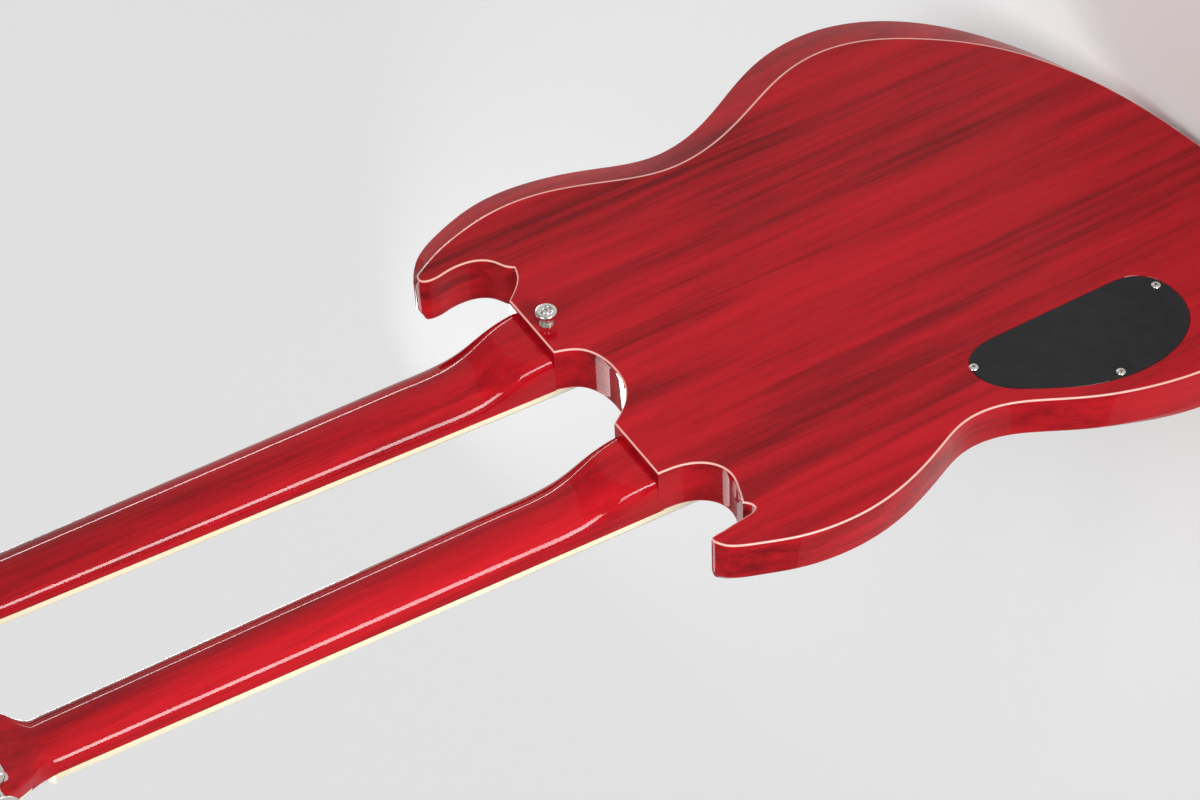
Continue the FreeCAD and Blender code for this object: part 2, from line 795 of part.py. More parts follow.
def build_nut(side):
    """Nut with its top following the board, its rear sloped off, and a slot per string."""
    half = nut_width[side] / 2
    top = board_thickness + nut_rise
    land = nut_z + nut_thickness * nut_land_share
    profile = polygon([V(-half, -slip, nut_z), V(-half, -top, nut_z), V(-half, -top, land),
                       V(-half, -board_thickness / 2, nut_z + nut_thickness),
                       V(-half, -slip, nut_z + nut_thickness)])
    block = prism(profile, V(2 * half, 0, 0)).common(board_barrel(nut_rise))
    slots = [build_slot(points[1:], radius + running) for points, radius in string_runs(side)]
    return placed(block, neck_frame(side)).cut(slots)


def build_slot(points, radius):
    """Square channel along a string over the nut, open to the face."""
    corner = points[1]
    ahead = (points[0] - corner).normalize()
    behind = (points[2] - corner).normalize()
    across = ahead.cross(V(0, 1, 0)).normalize() * radius
    foot = corner + ahead * nut_thickness
    down = across.cross(ahead).normalize()
    down = down * math.copysign(radius, down.y)
    up = down * (-nut_thickness / radius)
    profile = polygon([foot + across + down, foot - across + down, foot - across + up,
                       foot + across + up])
    path = Part.makePolygon([foot, corner, corner + behind * nut_thickness * 2])
    return path.makePipeShell([profile], True, False, 1)


def build_housing(sign, z):
    """Closed gear housing on the back of a head, with the seat that its key turns in."""
    x = sign * post_offset
    back = head_thickness
    case = box(V(x - housing_width / 2, back, z - housing_height / 2),
               V(x + housing_width / 2, back + housing_depth, z + housing_height / 2))
    rear = [edge for edge in case.Edges if edge.CenterOfMass.y > back + housing_depth - slip]
    case = case.makeChamfer(housing_depth / 8, rear)
    face_x = x + sign * housing_width / 2
    seat = flat_sided(key_stem_radius + running, key_seat_depth + running + overrun,
                      -key_seat_depth - running)
    outward = FreeCAD.Rotation(V(0, 1, 0), sign * 90)
    return case.cut(placed(seat, FreeCAD.Placement(V(face_x, back + key_drop, z), outward)))


def build_post(sign, z):
    """String post, from the housing's face through the head."""
    foot = head_thickness - running
    return Part.makeCylinder(post_radius, foot + post_rise,
                             V(sign * post_offset, foot, z), V(0, -1, 0))


def build_key(sign, z):
    """Tuner key: a round stem and a flat grip with eased corners."""
    seat_x = post_offset + housing_width / 2 - key_seat_depth
    grip_x = seat_x + key_stem_reach
    y = head_thickness + key_drop
    stem = Part.makeCylinder(key_stem_radius, key_stem_reach + key_length / 5,
                             V(sign * seat_x, y, z), V(sign, 0, 0))
    half = key_height / 2
    points = [V(sign * (grip_x + along * key_length), y - key_thickness / 2, z + up * half)
              for along, up in key_grip_shares]
    points += [V(sign * (grip_x + along * key_length), y - key_thickness / 2, z - up * half)
               for along, up in reversed(key_grip_shares)]
    grip = prism(polygon(points), V(0, key_thickness, 0))
    return stem.fuse(grip)


def build_pickup(x, z):
    """Covered pickup standing in its ring, its top a set gap below the strings."""
    along = (z - heel_z) / math.cos(math.radians(neck_pitch))
    under = front_y - neck_to_body("six", 0, -string_height(along), along).y
    rise = under - pickup_string_gap
    block = eased_block(pickup_width, pickup_height, pickup_depth + rise, pickup_corner,
                        -pickup_depth)
    return placed(block, facing_front(x, z))


def build_ring(x, z, rise):
    """Mounting ring round a pickup."""
    frame = eased_block(ring_width, ring_height, rise, ring_corner)
    hole = eased_block(pickup_width + 2 * air, pickup_height + 2 * air, rise + 2 * overrun,
                       pickup_corner, -overrun)
    return placed(frame.cut(hole), facing_front(x, z))


def build_bridge(side):
    """Bridge bar with its saddles, posts and thumbwheels, as separate solids."""
    bar_top = bridge_string_rise - saddle_height
    solids = [eased_block(bridge_length, bridge_thickness, bridge_height,
                          bridge_thickness * bar_end_share, bar_top - bridge_height)]
    for place in range(saddle_count):
        saddle_x = string_spread_at_bridge * (place / (saddle_count - 1) - 1 / 2)
        arch = (abs(saddle_x) + course_pair_gap) ** 2 / (2 * board_radius)
        solids.append(build_saddle(saddle_x, bar_top, saddle_height - arch - running))
    wheel_foot = bar_top - bridge_height - thumbwheel_height
    frame = facing_front(side_x[side], bridge_z)
    post = flat_sided(bridge_post_radius, insert_depth + wheel_foot, slip - insert_depth)
    post = post.fuse(flat_sided(thumbwheel_radius, thumbwheel_height, wheel_foot))
    posts = pair_on_front(post, side_x[side], bridge_post_spacing, bridge_z)
    return [placed(solid, frame) for solid in solids] + posts


def build_saddle(x, base, rise):
    """Wedge saddle with its ridge under the string."""
    half = bridge_thickness / 2 - running
    ridge = saddle_width / 40
    profile = polygon([V(x - saddle_width / 2, -half, base), V(x - saddle_width / 2, half, base),
                       V(x - saddle_width / 2, ridge, base + rise),
                       V(x - saddle_width / 2, -ridge, base + rise)])
    return prism(profile, V(saddle_width, 0, 0))


def build_tailpiece(side):
    """Stop bar held by two studs that run into the body."""
    z = bridge_z - tailpiece_below_bridge
    bar = eased_block(tailpiece_length, tailpiece_thickness, tailpiece_height,
                      tailpiece_thickness * bar_end_share, tailpiece_lift)
    bar = placed(bar, facing_front(side_x[side], z))
    hole = flat_sided(stud_radius + slip, tailpiece_height + 2 * overrun, -overrun)
    top = tailpiece_lift + tailpiece_height + slip
    shank = flat_sided(stud_radius, insert_depth + top, slip - insert_depth)
    stud = shank.fuse(Part.makeCylinder(stud_head_radius, stud_head_height, V(0, 0, top)))
    bar = bar.cut(pair_on_front(hole, side_x[side], stud_spacing, z))
    return [bar] + pair_on_front(stud, side_x[side], stud_spacing, z)


def build_guard(left, width, bottom, top, switch):
    """Pickguard with eased corners, a tapered foot and a hole for its selector's bushing."""
    tall = top - bottom
    points = [V(left + x * width, front_y, bottom + z * tall)
              for x, z in guard_corner_shares + guard_foot_shares]
    corners = points[:len(guard_corner_shares)]
    foot = points[len(guard_corner_shares):]
    across = V(2 * left + width, 0, 0)
    other = [V(across.x - point.x, point.y, point.z) for point in points]
    other_foot = [V(across.x - point.x, point.y, point.z) for point in foot]
    other_corners = other[:len(corners)]
    edges = [line(*corners), line(corners[1], foot[0]), spline(foot),
             line(foot[-1], other_foot[-1]), spline(other_foot[::-1]),
             line(other_foot[0], other_corners[1]), line(*other_corners[::-1]),
             line(other_corners[0], corners[0])]
    plate = prism(Part.Wire(edges), V(0, -guard_thickness, 0))
    hole = flat_sided(switch_bushing_radius + slip, 2 * overrun, -overrun)
    return plate.cut(placed(hole, facing_front(*switch)))


def build_rod_cover(side):
    """Bell-shaped plate over the truss rod's end, lying on the head's face."""
    half = rod_cover_width / 2
    foot = V(-half, 0, rod_cover_lift)
    other = V(half, 0, rod_cover_lift)
    tip = V(0, 0, rod_cover_lift + rod_cover_length)
    waist = half * rod_cover_waist_share
    right = spline([other, V(waist, 0, rod_cover_lift + rod_cover_length / 3), tip])
    left = spline([tip, V(-waist, 0, rod_cover_lift + rod_cover_length / 3), foot])
    plate = prism(Part.Wire([line(foot, other), right, left]), V(0, -rod_cover_thickness, 0))
    return placed(plate, head_frame(side))


def build_cover():
    """Rear control cover, flush with the back."""
    return prism(cover_wire(back_y - cover_thickness, slip), V(0, cover_thickness, 0))


def build_pot(x, z):
    """Potentiometer can under the top."""
    return placed(flat_sided(pot_radius, pot_depth, -front_wall - pot_depth),
                  facing_front(x, z))


def build_knob(x, z):
    """Tapered knob on the shaft that turns in the top."""
    shaft = Part.makeCylinder(control_shaft_radius, front_wall + knob_gap,
                              V(0, 0, running - front_wall))
    cap = Part.makeCone(knob_radius, knob_top_radius, knob_height, V(0, 0, knob_gap))
    return placed(shaft.fuse(cap), facing_front(x, z))


def build_switch(x, z):
    """Selector switch below its guard, with a bushing up through it and a well for its lever."""
    block = box(V(-switch_width / 2, -switch_length / 2, -switch_depth),
                V(switch_width / 2, switch_length / 2, 0))
    bushing = flat_sided(switch_bushing_radius, guard_thickness + switch_bushing_rise)
    half = switch_well_width / 2
    well = box(V(-half, -half, -lever_pivot_depth - half),
               V(half, half, guard_thickness + switch_bushing_rise + overrun))
    return placed(block.fuse(bushing).cut(well), facing_front(x, z))


def build_lever(x, z, barrel_turn):
    """Selector lever with its pivot barrel and tapered tip, standing straight up."""
    barrel = Part.makeCylinder(lever_barrel_radius, switch_well_width - 2 * running,
                               V(running - switch_well_width / 2, 0, -lever_pivot_depth),
                               V(1, 0, 0))
    tip = guard_thickness + switch_bushing_rise + lever_length - lever_tip_length
    shaft = flat_sided(lever_radius, tip + lever_pivot_depth + lever_radius, -lever_pivot_depth)
    rings = [flat_ring(lever_tip_radius * lever_tip_share, tip),
             flat_ring(lever_tip_radius, tip + lever_tip_length)]
    cap = Part.makeLoft(rings, True, True)
    lever = placed(barrel.fuse([shaft, cap]), FreeCAD.Placement(V(), turn_z(barrel_turn)))
    return placed(lever, facing_front(x, z))


def build_jack():
    """Output jack: a nut on the top and a barrel through it, with the plug's bore."""
    barrel = flat_sided(jack_radius, jack_barrel_length, jack_nut_thickness
                        - jack_barrel_length)
    nut = flat_sided(jack_nut_radius, jack_nut_thickness)
    bore = Part.makeCylinder(jack_bore_radius, jack_barrel_length + 2 * overrun,
                             V(0, 0, jack_nut_thickness - jack_barrel_length - overrun))
    return placed(barrel.fuse(nut).cut(bore), facing_front(*on_cover(jack_share)))


def build_strap_button(which):
    """Strap button with its waist, turned in one piece."""
    profile = [(0, 0), (strap_base_radius, 0), (strap_neck_radius, strap_height * strap_waist_share),
               (strap_head_radius, strap_height * strap_head_share),
               (strap_head_radius, strap_height), (0, strap_height)]
    return placed(turned(profile), strap_place(which))


def write_node(name, solids):
    shape = solids[0] if len(solids) == 1 else Part.makeCompound(solids)
    shape.exportStep(os.path.join("parts", name + ".step"))


def main():
    os.makedirs("parts", exist_ok=True)
    sides = ("twelve", "six")
    boards, bindings, inlays, frets = [], [], [], []
    for side in sides:
        frame = neck_frame(side)
        core, binding, blocks, wires = build_board(side)
        boards.append(placed(core, frame))
        bindings.append(placed(binding, frame))
        head_ring = head_binding(side)
        bindings.append(placed(head_ring, head_frame(side)))
        inlays += [placed(solid, frame) for solid in blocks.Solids]
        frets += [placed(fret, frame) for fret in wires]
        write_node(f"neck_{side}_string", build_neck(side).Solids)
    write_node("body", build_body().Solids)
    write_node("fretboards", boards)
    write_node("bindings", bindings)
    write_node("inlays", inlays)
    write_node("frets", frets)
    write_node("nuts", [build_nut(side) for side in sides])
    write_node("strings", [build_string(*run) for side in sides for run in string_runs(side)])
    housings = []
    for side in sides:
        for label, sign, z in tuner_places(side):
            frame = head_frame(side)
            housings.append(placed(build_housing(sign, z), frame))
            write_node(f"string_post_{label}", [placed(build_post(sign, z), frame)])
            write_node(f"tuner_key_{label}", [placed(build_key(sign, z), frame)])
    write_node("tuner_housings", housings)
    write_node("pickups", [build_pickup(x, z) for x, z, rise in pickup_places()])
    write_node("pickup_rings", [build_ring(x, z, rise) for x, z, rise in pickup_places()])
    write_node("bridges", [solid for side in sides for solid in build_bridge(side)])
    write_node("tailpieces", [solid for side in sides for solid in build_tailpiece(side)])
    middle_switch, treble_switch = switch_places()
    guards = [build_guard(-middle_guard_width / 2, middle_guard_width, middle_guard_bottom,
                          middle_guard_top, middle_switch),
              build_guard(treble_guard_left, treble_guard_width, treble_guard_bottom,
                          treble_guard_top, treble_switch)]
    write_node("pickguards", guards + [build_rod_cover(side) for side in sides])
    write_node("rear_cover", [build_cover()])
    electronics = [build_pot(*on_cover(share)) for share in knob_shares]
    electronics += [build_switch(*place) for place in switch_places()]
    electronics.append(build_jack())
    write_node("electronics", electronics)
    write_node("strap_buttons", [build_strap_button(which) for which in ("heel", "tail")])
    for share, name in zip(knob_shares, ("volume_knob_twelve", "volume_knob_six",
                                         "tone_knob_twelve", "tone_knob_six")):
        write_node(name, [build_knob(*on_cover(share))])
    neck_selector, pickup_selector = switch_places()
    write_node("neck_selector_lever", [build_lever(*neck_selector, 90)])
    write_node("pickup_selector_lever", [build_lever(*pickup_selector, 0)])


main()
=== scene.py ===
"""Looks of a double-neck electric guitar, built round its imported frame.

+Z runs up the necks, -Y is the playing face, +Y the back and +X the treble side. Sizes in this
file are in millimetres until a mesh is made.
"""
import math

import bmesh
import bpy
import numpy as np
from mathutils import Matrix, Vector
from mathutils.geometry import tessellate_polygon
from mathutils.kdtree import KDTree


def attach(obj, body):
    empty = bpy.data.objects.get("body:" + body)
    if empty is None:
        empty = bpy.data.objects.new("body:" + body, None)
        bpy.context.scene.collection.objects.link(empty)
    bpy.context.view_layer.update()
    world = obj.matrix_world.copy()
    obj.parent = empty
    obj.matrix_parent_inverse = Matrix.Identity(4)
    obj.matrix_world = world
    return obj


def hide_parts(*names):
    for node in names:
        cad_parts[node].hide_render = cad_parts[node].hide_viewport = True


bl_info = {
    "name": "Double-neck guitar",
    "version": (1, 0, 0),
    "blender": (4, 5, 0),
    "location": "View3D > Sidebar > Guitar",
    "description": "Dresses a double-neck guitar: carved body, two bound necks and all fittings",
    "category": "Object",
}

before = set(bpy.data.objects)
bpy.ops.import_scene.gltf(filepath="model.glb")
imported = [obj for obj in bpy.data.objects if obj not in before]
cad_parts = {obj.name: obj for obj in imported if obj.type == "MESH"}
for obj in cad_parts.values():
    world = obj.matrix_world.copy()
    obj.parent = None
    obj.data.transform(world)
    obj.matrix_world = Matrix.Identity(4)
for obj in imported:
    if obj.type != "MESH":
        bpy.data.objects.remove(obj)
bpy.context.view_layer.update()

MM = 0.001
WHOLE = "guitar"
SIDES = ("twelve", "six")

body_thickness = 36.0
body_length = 476.0
bass_reach = 227.7
treble_reach = 207.5
back_bevel_width = 31.0
back_bevel_depth = 7.0
front_bevel_width = 13.0
front_bevel_depth = 6.0
heel_step = 7.5
neck_spacing = 132.3
neck_pitch = 1.9
scale_length = 628.0
nut_z = scale_length * 0.6624
neck_depth_at_nut = 14.8
neck_depth_at_heel = 18.6
heel_run = 64.0
board_thickness = 6.2
board_radius = 305.0
binding_width = 1.6
fret_count = 22
fret_height = 1.1
board_overhang = scale_length * (1 - 2 ** (-fret_count / 12)) - nut_z + 3.2
inlay_side_gap = 6.0
inlay_frets = (3, 5, 7, 9, 12, 15, 17, 19, 21)
nut_thickness = 5.0
nut_land_share = 0.35
head_angle = 14.0
head_thickness = 13.5
head_half_width = 37.5
head_length = {"twelve": 236.0, "six": 184.0}
head_binding_depth = 2.0
throat_run = 18.0
rod_cover_width = 24.0
rod_cover_length = 44.0
rod_cover_thickness = 1.8
rod_cover_lift = 14.0
tuner_first = 46.0
tuner_step = {"twelve": 29.0, "six": 43.0}
tuner_count = {"twelve": 6, "six": 3}
post_offset = 24.5
post_radius = 3.0
post_rise = 15.0
housing_width = 15.0
housing_height = 17.0
housing_depth = 11.5
housing_foot_width = 9.0
housing_foot_height = 26.0
housing_foot_thickness = 1.3
housing_screw_up = 10.7
housing_screw_radius = 1.5
key_drop = 6.2
key_stem_radius = 1.8
key_stem_reach = 18.0
key_seat_depth = 4.0
key_length = 15.0
key_height = 17.0
key_thickness = 6.0
winding_height = 6.5
winding_pitch_in_radii = 2.15
thin_string_radius = 0.3
thin_string_extra_turns = 1.5
course_pair_gap = 2.2
string_edge_margin = 3.4
string_lift_at_nut = 0.55
string_lift_at_bridge = 4.2
string_spread_at_bridge = 51.0
string_diameters = (0.28, 0.36, 0.48, 0.70, 0.92, 1.20)
octave_diameters = (0.26, 0.34, 0.26, 0.36, 0.52, 0.72)
saddle_count = 6
saddle_height = 3.6
saddle_width = 6.6
saddle_screw_radius = 1.5
pickup_width = 70.0
pickup_height = 38.0
ring_width = 90.0
ring_height = 45.0
ring_rise_at_neck = 4.5
ring_rise_at_bridge = 8.0
pickup_string_gap = 3.2
neck_pickup_gap = 26.0
bridge_pickup_gap = 44.0
pole_gap = 10.2
pole_line = 9.6
pole_radius = 2.3
ring_screw_across = 41.5
ring_screw_up = 18.5
ring_screw_radius = 1.7
ring_middle_screw_share = 0.94
bridge_length = 88.0
bridge_thickness = 11.0
bridge_height = 6.0
bridge_post_spacing = 74.0
bridge_post_radius = 2.5
thumbwheel_core_radius = 6.2
thumbwheel_height = 2.6
thumbwheel_ribs = 36
tailpiece_below_bridge = 42.0
tailpiece_length = 102.0
tailpiece_thickness = 14.0
tailpiece_height = 9.0
tailpiece_lift = 3.0
stud_spacing = 82.0
stud_head_radius = 6.2
stud_head_height = 2.4
front_wall = 6.0
cover_width = 77.7
cover_length = 156.8
cover_left = 107.9
cover_bottom = 101.1
cover_thickness = 2.3
cover_ledge = 6.5
knob_radius = 12.0
knob_height = 13.0
knob_ribs = 30
knob_rib_ring = 10.55
knob_rib_height = 7.4
knob_gap = 4.2
shaft_radius = 3.0
pot_radius = 11.8
pot_depth = 9.5
jack_radius = 4.7
jack_bore_radius = 3.25
jack_barrel_length = 9.0
jack_nut_radius = 7.5
jack_nut_thickness = 2.6
guard_thickness = 2.4
bushing_radius = 5.6
bushing_rise = 3.5
lever_radius = 1.5
lever_length = 21.0
lever_tip_length = 11.0
lever_tip_radius = 3.6
lever_pivot_depth = 2.0
strap_radii = (6.2, 3.8, 7.5)
strap_height = 12.0
strap_screw_radius = 3.3
strap_button_x = -63.0
strap_button_below_heel = 10.0
slip = 0.05
running = 0.08

# Shares of the body outline: across the reach, up the length, back bevel, front bevel
treble_side_shares = (
    (0.746, 1.0074, 0, 0.16), (0.778, 1.0020, 0, 0.22), (0.850, 0.9540, 0, 0.55),
    (0.893, 0.9020, 0, 1), (0.914, 0.8500, 0, 1), (0.914, 0.7950, 0, 1),
    (0.883, 0.7280, 0, 1), (0.815, 0.6530, 0, 1), (0.775, 0.6080, 0, 1),
    (0.769, 0.5700, 0, 0.95), (0.790, 0.5300, 0, 0.85), (0.837, 0.4870, 0, 0.7),
    (0.901, 0.4330, 0, 0.5), (0.956, 0.3680, 0, 0.3), (0.991, 0.2980, 0, 0.1),
    (1.000, 0.2380, 0, 0), (0.980, 0.1760, 0, 0), (0.920, 0.1160, 0, 0),
    (0.815, 0.0600, 0, 0), (0.660, 0.0170, 0, 0), (0.460, -0.0070, 0, 0),
    (0.240, -0.0110, 0, 0),
)
bass_side_shares = (
    (0.000, 0.0000, 0, 0), (-0.200, 0.0130, 0.1, 0), (-0.427, 0.0390, 0.31, 0),
    (-0.624, 0.0800, 0.53, 0), (-0.830, 0.1500, 0.87, 0), (-0.962, 0.2400, 1, 0),
    (-1.000, 0.3240, 1, 0.1), (-0.969, 0.4130, 0.94, 0.3), (-0.877, 0.5030, 0.85, 0.6),
    (-0.785, 0.5930, 0.79, 0.9), (-0.763, 0.6680, 0.78, 1), (-0.822, 0.7600, 0.75, 1),
    (-0.872, 0.8500, 0.71, 1), (-0.874, 0.9300, 0.68, 1), (-0.828, 1.0020, 0.58, 0.9),
    (-0.751, 1.0630, 0.42, 0.7), (-0.646, 1.0953, 0, 0.4),
)
# Each outer cutaway's width and depth, and the depth of the one between the necks
bass_cutaway = (45.9, 0.0399 * body_length)
treble_cutaway = (62.1, 0.0809 * body_length)
middle_depth = 0.0536 * body_length
# Shares of each cutaway's outline: across it, and up from the heel line against its depth
bass_flank_shares = ((1.13, 2.39), (1.01, 2.20), (1.02, 1.30), (1.05, 0.52), (1.00, -0.04),
                     (0.84, -0.52), (0.64, -0.80), (0.57, -1.00))
bass_throat_shares = ((0.57, -1.00), (0.40, -0.87), (0.18, -0.48), (0, 0))
middle_shares = ((0, 0), (0.10, -0.64), (0.27, -0.93), (0.50, -1.00), (0.70, -0.87),
                 (0.85, -0.56), (1, 0))
treble_throat_shares = ((0, 0), (0.03, -0.43), (0.11, -0.73), (0.24, -0.93), (0.40, -1.00),
                        (0.60, -0.93), (0.795, -0.82))
treble_flank_shares = ((0.795, -0.82), (0.85, -0.90), (0.91, -0.93), (0.965, -0.72),
                       (0.99, -0.38), (1.01, -0.10))
# Shares of the heel: along its run, depth from the neck's to the plateau's, and roundness
heel_shares = ((-0.06, 1.00, 7.0), (0.18, 0.98, 5.0), (0.42, 0.76, 3.4), (0.68, 0.26, 2.4),
               (1.00, 0.00, 2.0), (1.4, 0.0, 2.0))
# Shares of the heads, half width and length, from the nut to the crown, on one side
head_outline_shares = ((0.60, 0.00), (0.66, 0.055), (0.93, 0.17), (1.00, 0.26), (0.95, 0.50),
                       (0.93, 0.72), (1.00, 0.93))
head_crown_shares = ((0.78, 0.975), (0.40, 0.995))
# The throat behind a nut: height above the nut, share of the head's tilt, share of the way
# from the neck's depth to the head's, and roundness
throat_rows = ((-6, 0.0, 0.0, 2.0), (-2, 0.12, 0.02, 2.02), (1.5, 0.5, 0.05, 2.1),
               (5, 0.85, 0.14, 2.3), (9, 1.0, 0.32, 2.8), (12, 1.0, 0.55, 3.8),
               (15, 1.0, 0.8, 6.5), (18, 1.0, 0.97, 12.0), (22, 1.0, 1.0, 18.0))
# Shares of a tuner key's grip: out along it, and up from its middle
key_grip_shares = ((0, 0.22), (0.08, 0.62), (0.3, 0.97), (0.62, 1.0), (0.88, 0.74), (1, 0.26))
# Shares of the control cover's outline, from the straight side round
cover_shares = ((0, 0.205), (0.008, 0.150), (0.045, 0.095), (0.120, 0.045), (0.230, 0.014),
                (0.400, 0.000), (0.690, 0.042), (0.905, 0.174), (0.995, 0.390),
                (0.900, 0.637), (0.680, 0.845), (0.520, 0.950), (0.260, 1.000),
                (0.120, 0.975), (0.045, 0.925), (0.008, 0.865), (0, 0.800))
# Places of the control cover's screws, in x and z
cover_screws = ((123.6, 254.5), (178.5, 177.7), (126.9, 108.7))
# Shares of the control cover's box at each knob and at the jack
knob_shares = ((0.297, 0.865), (0.516, 0.682), (0.645, 0.484), (0.645, 0.274))
knob_names = ("volume_knob_twelve", "volume_knob_six", "tone_knob_twelve", "tone_knob_six")
jack_share = (0.310, 0.146)
# Each pickguard as its left edge, width, foot and top, then the shares of its outline and its
# screws, and its edge as rows of inset and height
guards = {"middle": (-19.0, 38.0, 240.0, 440.0), "treble": (113.5, 43.0, 284.0, 425.0)}
guard_corner_shares = ((0.08, 1.00), (0.00, 0.97))
guard_foot_shares = ((0.00, 0.40), (0.05, 0.20), (0.20, 0.00))
guard_screw_shares = ((0.14, 0.955), (0.86, 0.955), (0.11, 0.45), (0.89, 0.45), (0.5, 0.05))
guard_profile = ((0, 0), (0, 0.5), (1.7, 2.2), (2.1, 2.38), (2.6, guard_thickness))
# Places of a truss rod cover's screws, across and above the nut
rod_cover_screws = ((-8.0, 17.5), (8.0, 17.5), (0, 51.0))

front_y = -body_thickness / 2
back_y = body_thickness / 2
heel_z = body_length
side_x = {"twelve": -neck_spacing / 2, "six": neck_spacing / 2}
nut_width = {"twelve": 47.0, "six": 43.0}
board_end_width = {"twelve": 59.5, "six": 54.0}
selectors = {"neck": (0.0, 330.0), "pickup": (137.15, 361.55)}


def turn_x(angle):
    return Matrix.Rotation(math.radians(angle), 4, "X")


def shift(x, y, z):
    return Matrix.Translation((x, y, z))


NECK = {side: shift(side_x[side], front_y, heel_z) @ turn_x(-neck_pitch) for side in SIDES}
HEAD = {side: NECK[side] @ shift(0, 0, nut_z) @ turn_x(-head_angle) for side in SIDES}
MIRROR = Matrix.Scale(-1, 4, (0, 0, 1))
# Flat pieces are drawn in a plane with their height along local Z
HEAD_FACE = {side: HEAD[side] @ turn_x(90) for side in SIDES}
FRONT = shift(0, front_y, 0) @ turn_x(90)
BACK = shift(0, back_y, 0) @ turn_x(90) @ MIRROR


class GuitarSizes(bpy.types.PropertyGroup):
    """Sizes of the finish and of the small parts."""

    edge_radius: bpy.props.FloatProperty(
        name="Body edge radius", description="Rounding of the body's sanded edges",
        default=1.6 * MM, min=0.2 * MM, max=4 * MM, unit="LENGTH")
    column_gap: bpy.props.FloatProperty(
        name="Outline spacing", description="Distance between points of the body's outline",
        default=2.2 * MM, min=1 * MM, max=10 * MM, unit="LENGTH")
    cover_screw: bpy.props.FloatProperty(
        name="Cover screw head", description="Radius of the rear cover's screw heads",
        default=3.5 * MM, min=1 * MM, max=6 * MM, unit="LENGTH")
    small_screw: bpy.props.FloatProperty(
        name="Small screw head",
        description="Radius of the pickguard and truss rod cover screw heads",
        default=2.1 * MM, min=1 * MM, max=4 * MM, unit="LENGTH")
    string_turns: bpy.props.FloatProperty(
        name="String turns", description="Turns of string wound round each post",
        default=2.6, min=1, max=5)
    screw_seed: bpy.props.IntProperty(
        name="Screw turn", description="Seed of the angle that each screw was left at",
        default=7, min=0)


class GuitarColours(bpy.types.PropertyGroup):
    """Colours of the finish."""

    cherry: bpy.props.FloatVectorProperty(
        name="Cherry", description="Stained wood seen through the lacquer",
        default=(0.37, 0.005, 0.010), subtype="COLOR", min=0, max=1)
    dark_cherry: bpy.props.FloatVectorProperty(
        name="Dark grain", description="Grain lines in the stained wood",
        default=(0.11, 0.002, 0.004), subtype="COLOR", min=0, max=1)
    # Pale colour painted along the crests of the body's rims as a highlight
    painted_rim_highlight: bpy.props.FloatVectorProperty(
        name="Painted rim highlight", description="Pale highlight painted along the body's rims",
        default=(0.90, 0.52, 0.45), subtype="COLOR", min=0, max=1)
    board: bpy.props.FloatVectorProperty(
        name="Fingerboard", description="Oiled rosewood",
        default=(0.085, 0.036, 0.022), subtype="COLOR", min=0, max=1)
    cream: bpy.props.FloatVectorProperty(
        name="Binding", description="Aged cream plastic of the bindings and lever tips",
        default=(0.80, 0.71, 0.50), subtype="COLOR", min=0, max=1)
    plating: bpy.props.FloatVectorProperty(
        name="Plating", description="Nickel plating of the metal parts",
        default=(0.66, 0.65, 0.62), subtype="COLOR", min=0, max=1)
    floor: bpy.props.FloatVectorProperty(
        name="Floor", description="Studio floor and backdrop",
        default=(0.86, 0.86, 0.86), subtype="COLOR", min=0, max=1)


class GuitarStage(bpy.types.PropertyGroup):
    """Light of the studio."""

    sun: bpy.props.FloatProperty(
        name="Soft key light", description="Strength of the broad key light",
        default=1.25, min=0, max=10)
    strip: bpy.props.FloatProperty(
        name="Strip lights", description="Power that the strips take shares of, in watts",
        default=3.0, min=0, max=100)
    world: bpy.props.FloatProperty(
        name="Room light", description="Strength of the room's even light",
        default=0.42, min=0, max=2)


def sizes():
    return bpy.context.scene.guitar_sizes


def colours():
    return bpy.context.scene.guitar_colours


class Form:
    """Corners and faces of a piece in millimetres, before it becomes an object."""

    def __init__(self, corners=(), faces=()):
        self.corners = [Vector(corner) for corner in corners]
        self.faces = [tuple(face) for face in faces]
        self.finishes = [0] * len(self.faces)

    def join(self, other, place=Matrix(), finish=None):
        start = len(self.corners)
        self.corners += [place @ corner for corner in other.corners]
        self.faces += [tuple(start + index for index in face) for face in other.faces]
        self.finishes += [kept if finish is None else finish for kept in other.finishes]
        return self


def curve_through(points, per_step):
    """Points on the natural cubic curve through the given ones, and the last point."""
    points = np.array(points, float)
    gaps = np.linalg.norm(np.diff(points[:, :2], axis=0), axis=1)
    count = len(points)
    matrix = np.eye(count)
    right = np.zeros_like(points)
    for place in range(1, count - 1):
        low, high = gaps[place - 1], gaps[place]
        matrix[place, place - 1:place + 2] = (low, 2 * (low + high), high)
        right[place] = 6 * ((points[place + 1] - points[place]) / high
                            - (points[place] - points[place - 1]) / low)
    bend = np.linalg.solve(matrix, right)
    found = []
    for place, gap in enumerate(gaps):
        for step in range(per_step[place]):
            b = step / per_step[place]
            a = 1 - b
            found.append(a * points[place] + b * points[place + 1]
                         + ((a ** 3 - a) * bend[place] + (b ** 3 - b) * bend[place + 1])
                         * gap * gap / 6)
    found.append(points[-1])
    return [tuple(point) for point in found]


def smooth_path(points, steps=6):
    return curve_through(points, [steps] * (len(points) - 1))


def eased(points, radius, steps=4):
    """A run of points with each inner corner replaced by a short curve."""
    points = [Vector(point) for point in points]
    found = [points[0]]
    last = len(points) - 2
    for place in range(1, last + 1):
        before, corner, after = points[place - 1:place + 2]
        back, ahead = before - corner, after - corner
        reach = min(radius, (0.95 if place == 1 else 0.48) * back.length,
                    (0.95 if place == last else 0.48) * ahead.length)
        start = corner + back.normalized() * reach
        end = corner + ahead.normalized() * reach
        for step in range(steps + 1):
            t = step / steps
            found.append(start * (1 - t) ** 2 + corner * (2 * t * (1 - t)) + end * t * t)
    found.append(points[-1])
    return found


